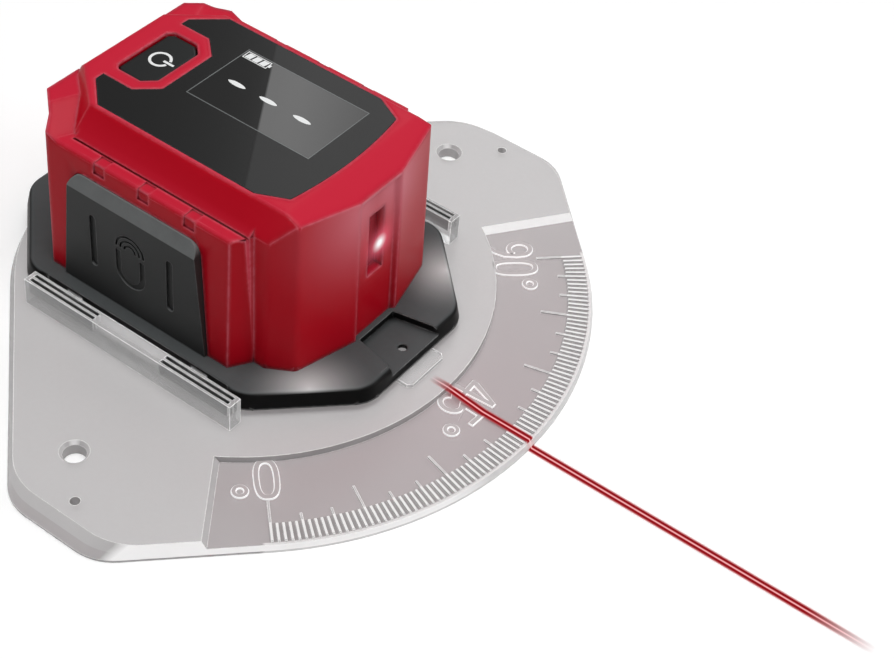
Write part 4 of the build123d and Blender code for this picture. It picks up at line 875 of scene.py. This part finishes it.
def stageSheet(name, rings, material):
    solid = bmesh.new()
    rows = [[solid.verts.new(Vector(point) * mm) for point in ring] for ring in rings]
    for first, second in zip(rows, rows[1:]):
        solid.faces.new((first[0], first[1], second[1], second[0]))
    mesh = bpy.data.meshes.new(name)
    solid.to_mesh(mesh)
    solid.free()
    sheet = bpy.data.objects.new(name, mesh)
    scene.collection.objects.link(sheet)
    setFinish(sheet, material)
    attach(sheet, "laser_unit")


beamHalf = beamLook["half"]
beamRings = [((x, -beamHalf, z), (x, beamHalf, z)) for x, z in beamLook["path"]]
stageSheet("beamLine", beamRings, lightMaterial("beamLight", buildBeam))
glowAcross, glowUp = glowLook["half"]
glowRings = [((glowX, -glowAcross, z), (glowX, glowAcross, z)) for z in (glowZ - glowUp, glowZ + glowUp)]
stageSheet("windowGlow", glowRings, lightMaterial("glowLight", buildGlow))
print("stage 6: the laser shines")


# Floor, sky and lamps of the studio
floorLook = {"half": 4, "drop": 0.02, "lift": 0.1, "fade": (0.3, 0.7), "grey": 0.75, "through": 0.9}


def makeFloor():
    solid = bmesh.new()
    bmesh.ops.create_grid(solid, x_segments=2, y_segments=2, size=floorLook["half"])
    mesh = bpy.data.meshes.new("studioFloor")
    solid.to_mesh(mesh)
    solid.free()
    floor = bpy.data.objects.new("studioFloor", mesh)
    floor.location = (0, 0, -floorLook["drop"] * mm)
    scene.collection.objects.link(floor)
    material = bpy.data.materials.new("studioPaper")
    material.use_nodes = True
    tree = material.node_tree
    tree.nodes.clear()
    path = addNode(tree, "ShaderNodeLightPath")
    white = addNode(tree, "ShaderNodeBsdfDiffuse", {"Color": (1, 1, 1, 1)})
    lift = addNode(tree, "ShaderNodeEmission")
    place = addNode(tree, "ShaderNodeTexCoord")
    away = addNode(tree, "ShaderNodeVectorMath", operation="LENGTH")
    tree.links.new(place.outputs["Object"], away.inputs[0])
    beyond = rangeOf(tree, away.outputs["Value"], *floorLook["fade"], 0, 1)
    lifted = blendColour(tree, beyond, (floorLook["lift"],) * 3, (1, 1, 1))
    tree.links.new(lifted, lift.inputs["Color"])
    seen = addNode(tree, "ShaderNodeAddShader")
    lit = addNode(tree, "ShaderNodeBsdfDiffuse", {"Color": (*(floorLook["grey"],) * 3, 1)})
    paper = addNode(tree, "ShaderNodeEmission", {"Color": (1, 1, 1, 1), "Strength": floorLook["through"]})
    first = addNode(tree, "ShaderNodeMixShader")
    second = addNode(tree, "ShaderNodeMixShader")
    output = addNode(tree, "ShaderNodeOutputMaterial")
    tree.links.new(white.outputs[0], seen.inputs[0])
    tree.links.new(lift.outputs[0], seen.inputs[1])
    tree.links.new(path.outputs["Is Camera Ray"], first.inputs[0])
    tree.links.new(lit.outputs[0], first.inputs[1])
    tree.links.new(seen.outputs[0], first.inputs[2])
    tree.links.new(path.outputs["Is Transmission Ray"], second.inputs[0])
    tree.links.new(first.outputs[0], second.inputs[1])
    tree.links.new(paper.outputs[0], second.inputs[2])
    tree.links.new(second.outputs[0], output.inputs[0])
    setFinish(floor, material)


def makeSky(level):
    world = bpy.data.worlds.new("studioSky")
    world.use_nodes = True
    tree = world.node_tree
    tree.nodes.clear()
    path = addNode(tree, "ShaderNodeLightPath")
    light = addNode(tree, "ShaderNodeBackground", {"Color": (1, 1, 1, 1), "Strength": level})
    white = addNode(tree, "ShaderNodeBackground", {"Color": (1, 1, 1, 1), "Strength": 1})
    mix = addNode(tree, "ShaderNodeMixShader")
    output = addNode(tree, "ShaderNodeOutputWorld")
    tree.links.new(path.outputs["Is Camera Ray"], mix.inputs[0])
    tree.links.new(light.outputs[0], mix.inputs[1])
    tree.links.new(white.outputs[0], mix.inputs[2])
    tree.links.new(mix.outputs[0], output.inputs[0])
    scene.world = world


studioLook = {
    "sky": 0.16,
    "topSoftbox": {
        "place": (0.10, -0.12, 0.95), "target": (0.02, 0, 0.03), "size": (0.7, 0.7), "watts": 6.8,
    },
    "backSoftbox": {
        "place": (-0.30, 0.72, 0.72), "target": (0.02, 0, 0.03), "size": (0.45, 0.5), "watts": 0.9,
    },
    "leftSoftbox": {
        "place": (-0.9, -0.15, 0.35), "target": (-0.03, 0, 0.03), "size": (0.3, 0.5), "watts": 0.9,
    },
    "frontSoftbox": {
        "place": (0.8, 0.45, 0.35), "target": (0.03, 0, 0.03), "size": (0.4, 0.3), "watts": 2.0,
    },
}


def addLamp(name):
    look = studioLook[name]
    data = bpy.data.lights.new(name, "AREA")
    data.shape = "RECTANGLE"
    data.size, data.size_y = look["size"]
    data.energy = look["watts"]
    lamp = bpy.data.objects.new(name, data)
    lamp.location = look["place"]
    aim = Vector(look["target"]) - Vector(look["place"])
    lamp.rotation_euler = aim.to_track_quat("-Z", "Y").to_euler()
    scene.collection.objects.link(lamp)


makeFloor()
makeSky(studioLook["sky"])
for lampName in ("topSoftbox", "backSoftbox", "leftSoftbox", "frontSoftbox"):
    addLamp(lampName)
print("stage 7: floor, sky and lamps stand")

# Camera at the photograph's angle
cameraLook = {
    "place": (206.87, -244.31, 297.41), "right": (0.80346, 0.58943, 0.08375),
    "up": (-0.46274, 0.52978, 0.71078), "back": (0.37459, -0.60984, 0.69842), "lens": 76.1,
    "shift": 0.0085, "sensor": 36, "clip": (0.01, 20),
}
cameraData = bpy.data.cameras.new("productCamera")
cameraData.lens = cameraLook["lens"]
cameraData.sensor_width = cameraLook["sensor"]
cameraData.shift_y = cameraLook["shift"]
cameraData.clip_start, cameraData.clip_end = cameraLook["clip"]
camera = bpy.data.objects.new("productCamera", cameraData)
turn = Matrix((cameraLook["right"], cameraLook["up"], cameraLook["back"])).transposed().to_4x4()
camera.matrix_world = Matrix.Translation(Vector(cameraLook["place"]) * mm) @ turn
scene.collection.objects.link(camera)
scene.camera = camera
scene.view_settings.view_transform = "Standard"
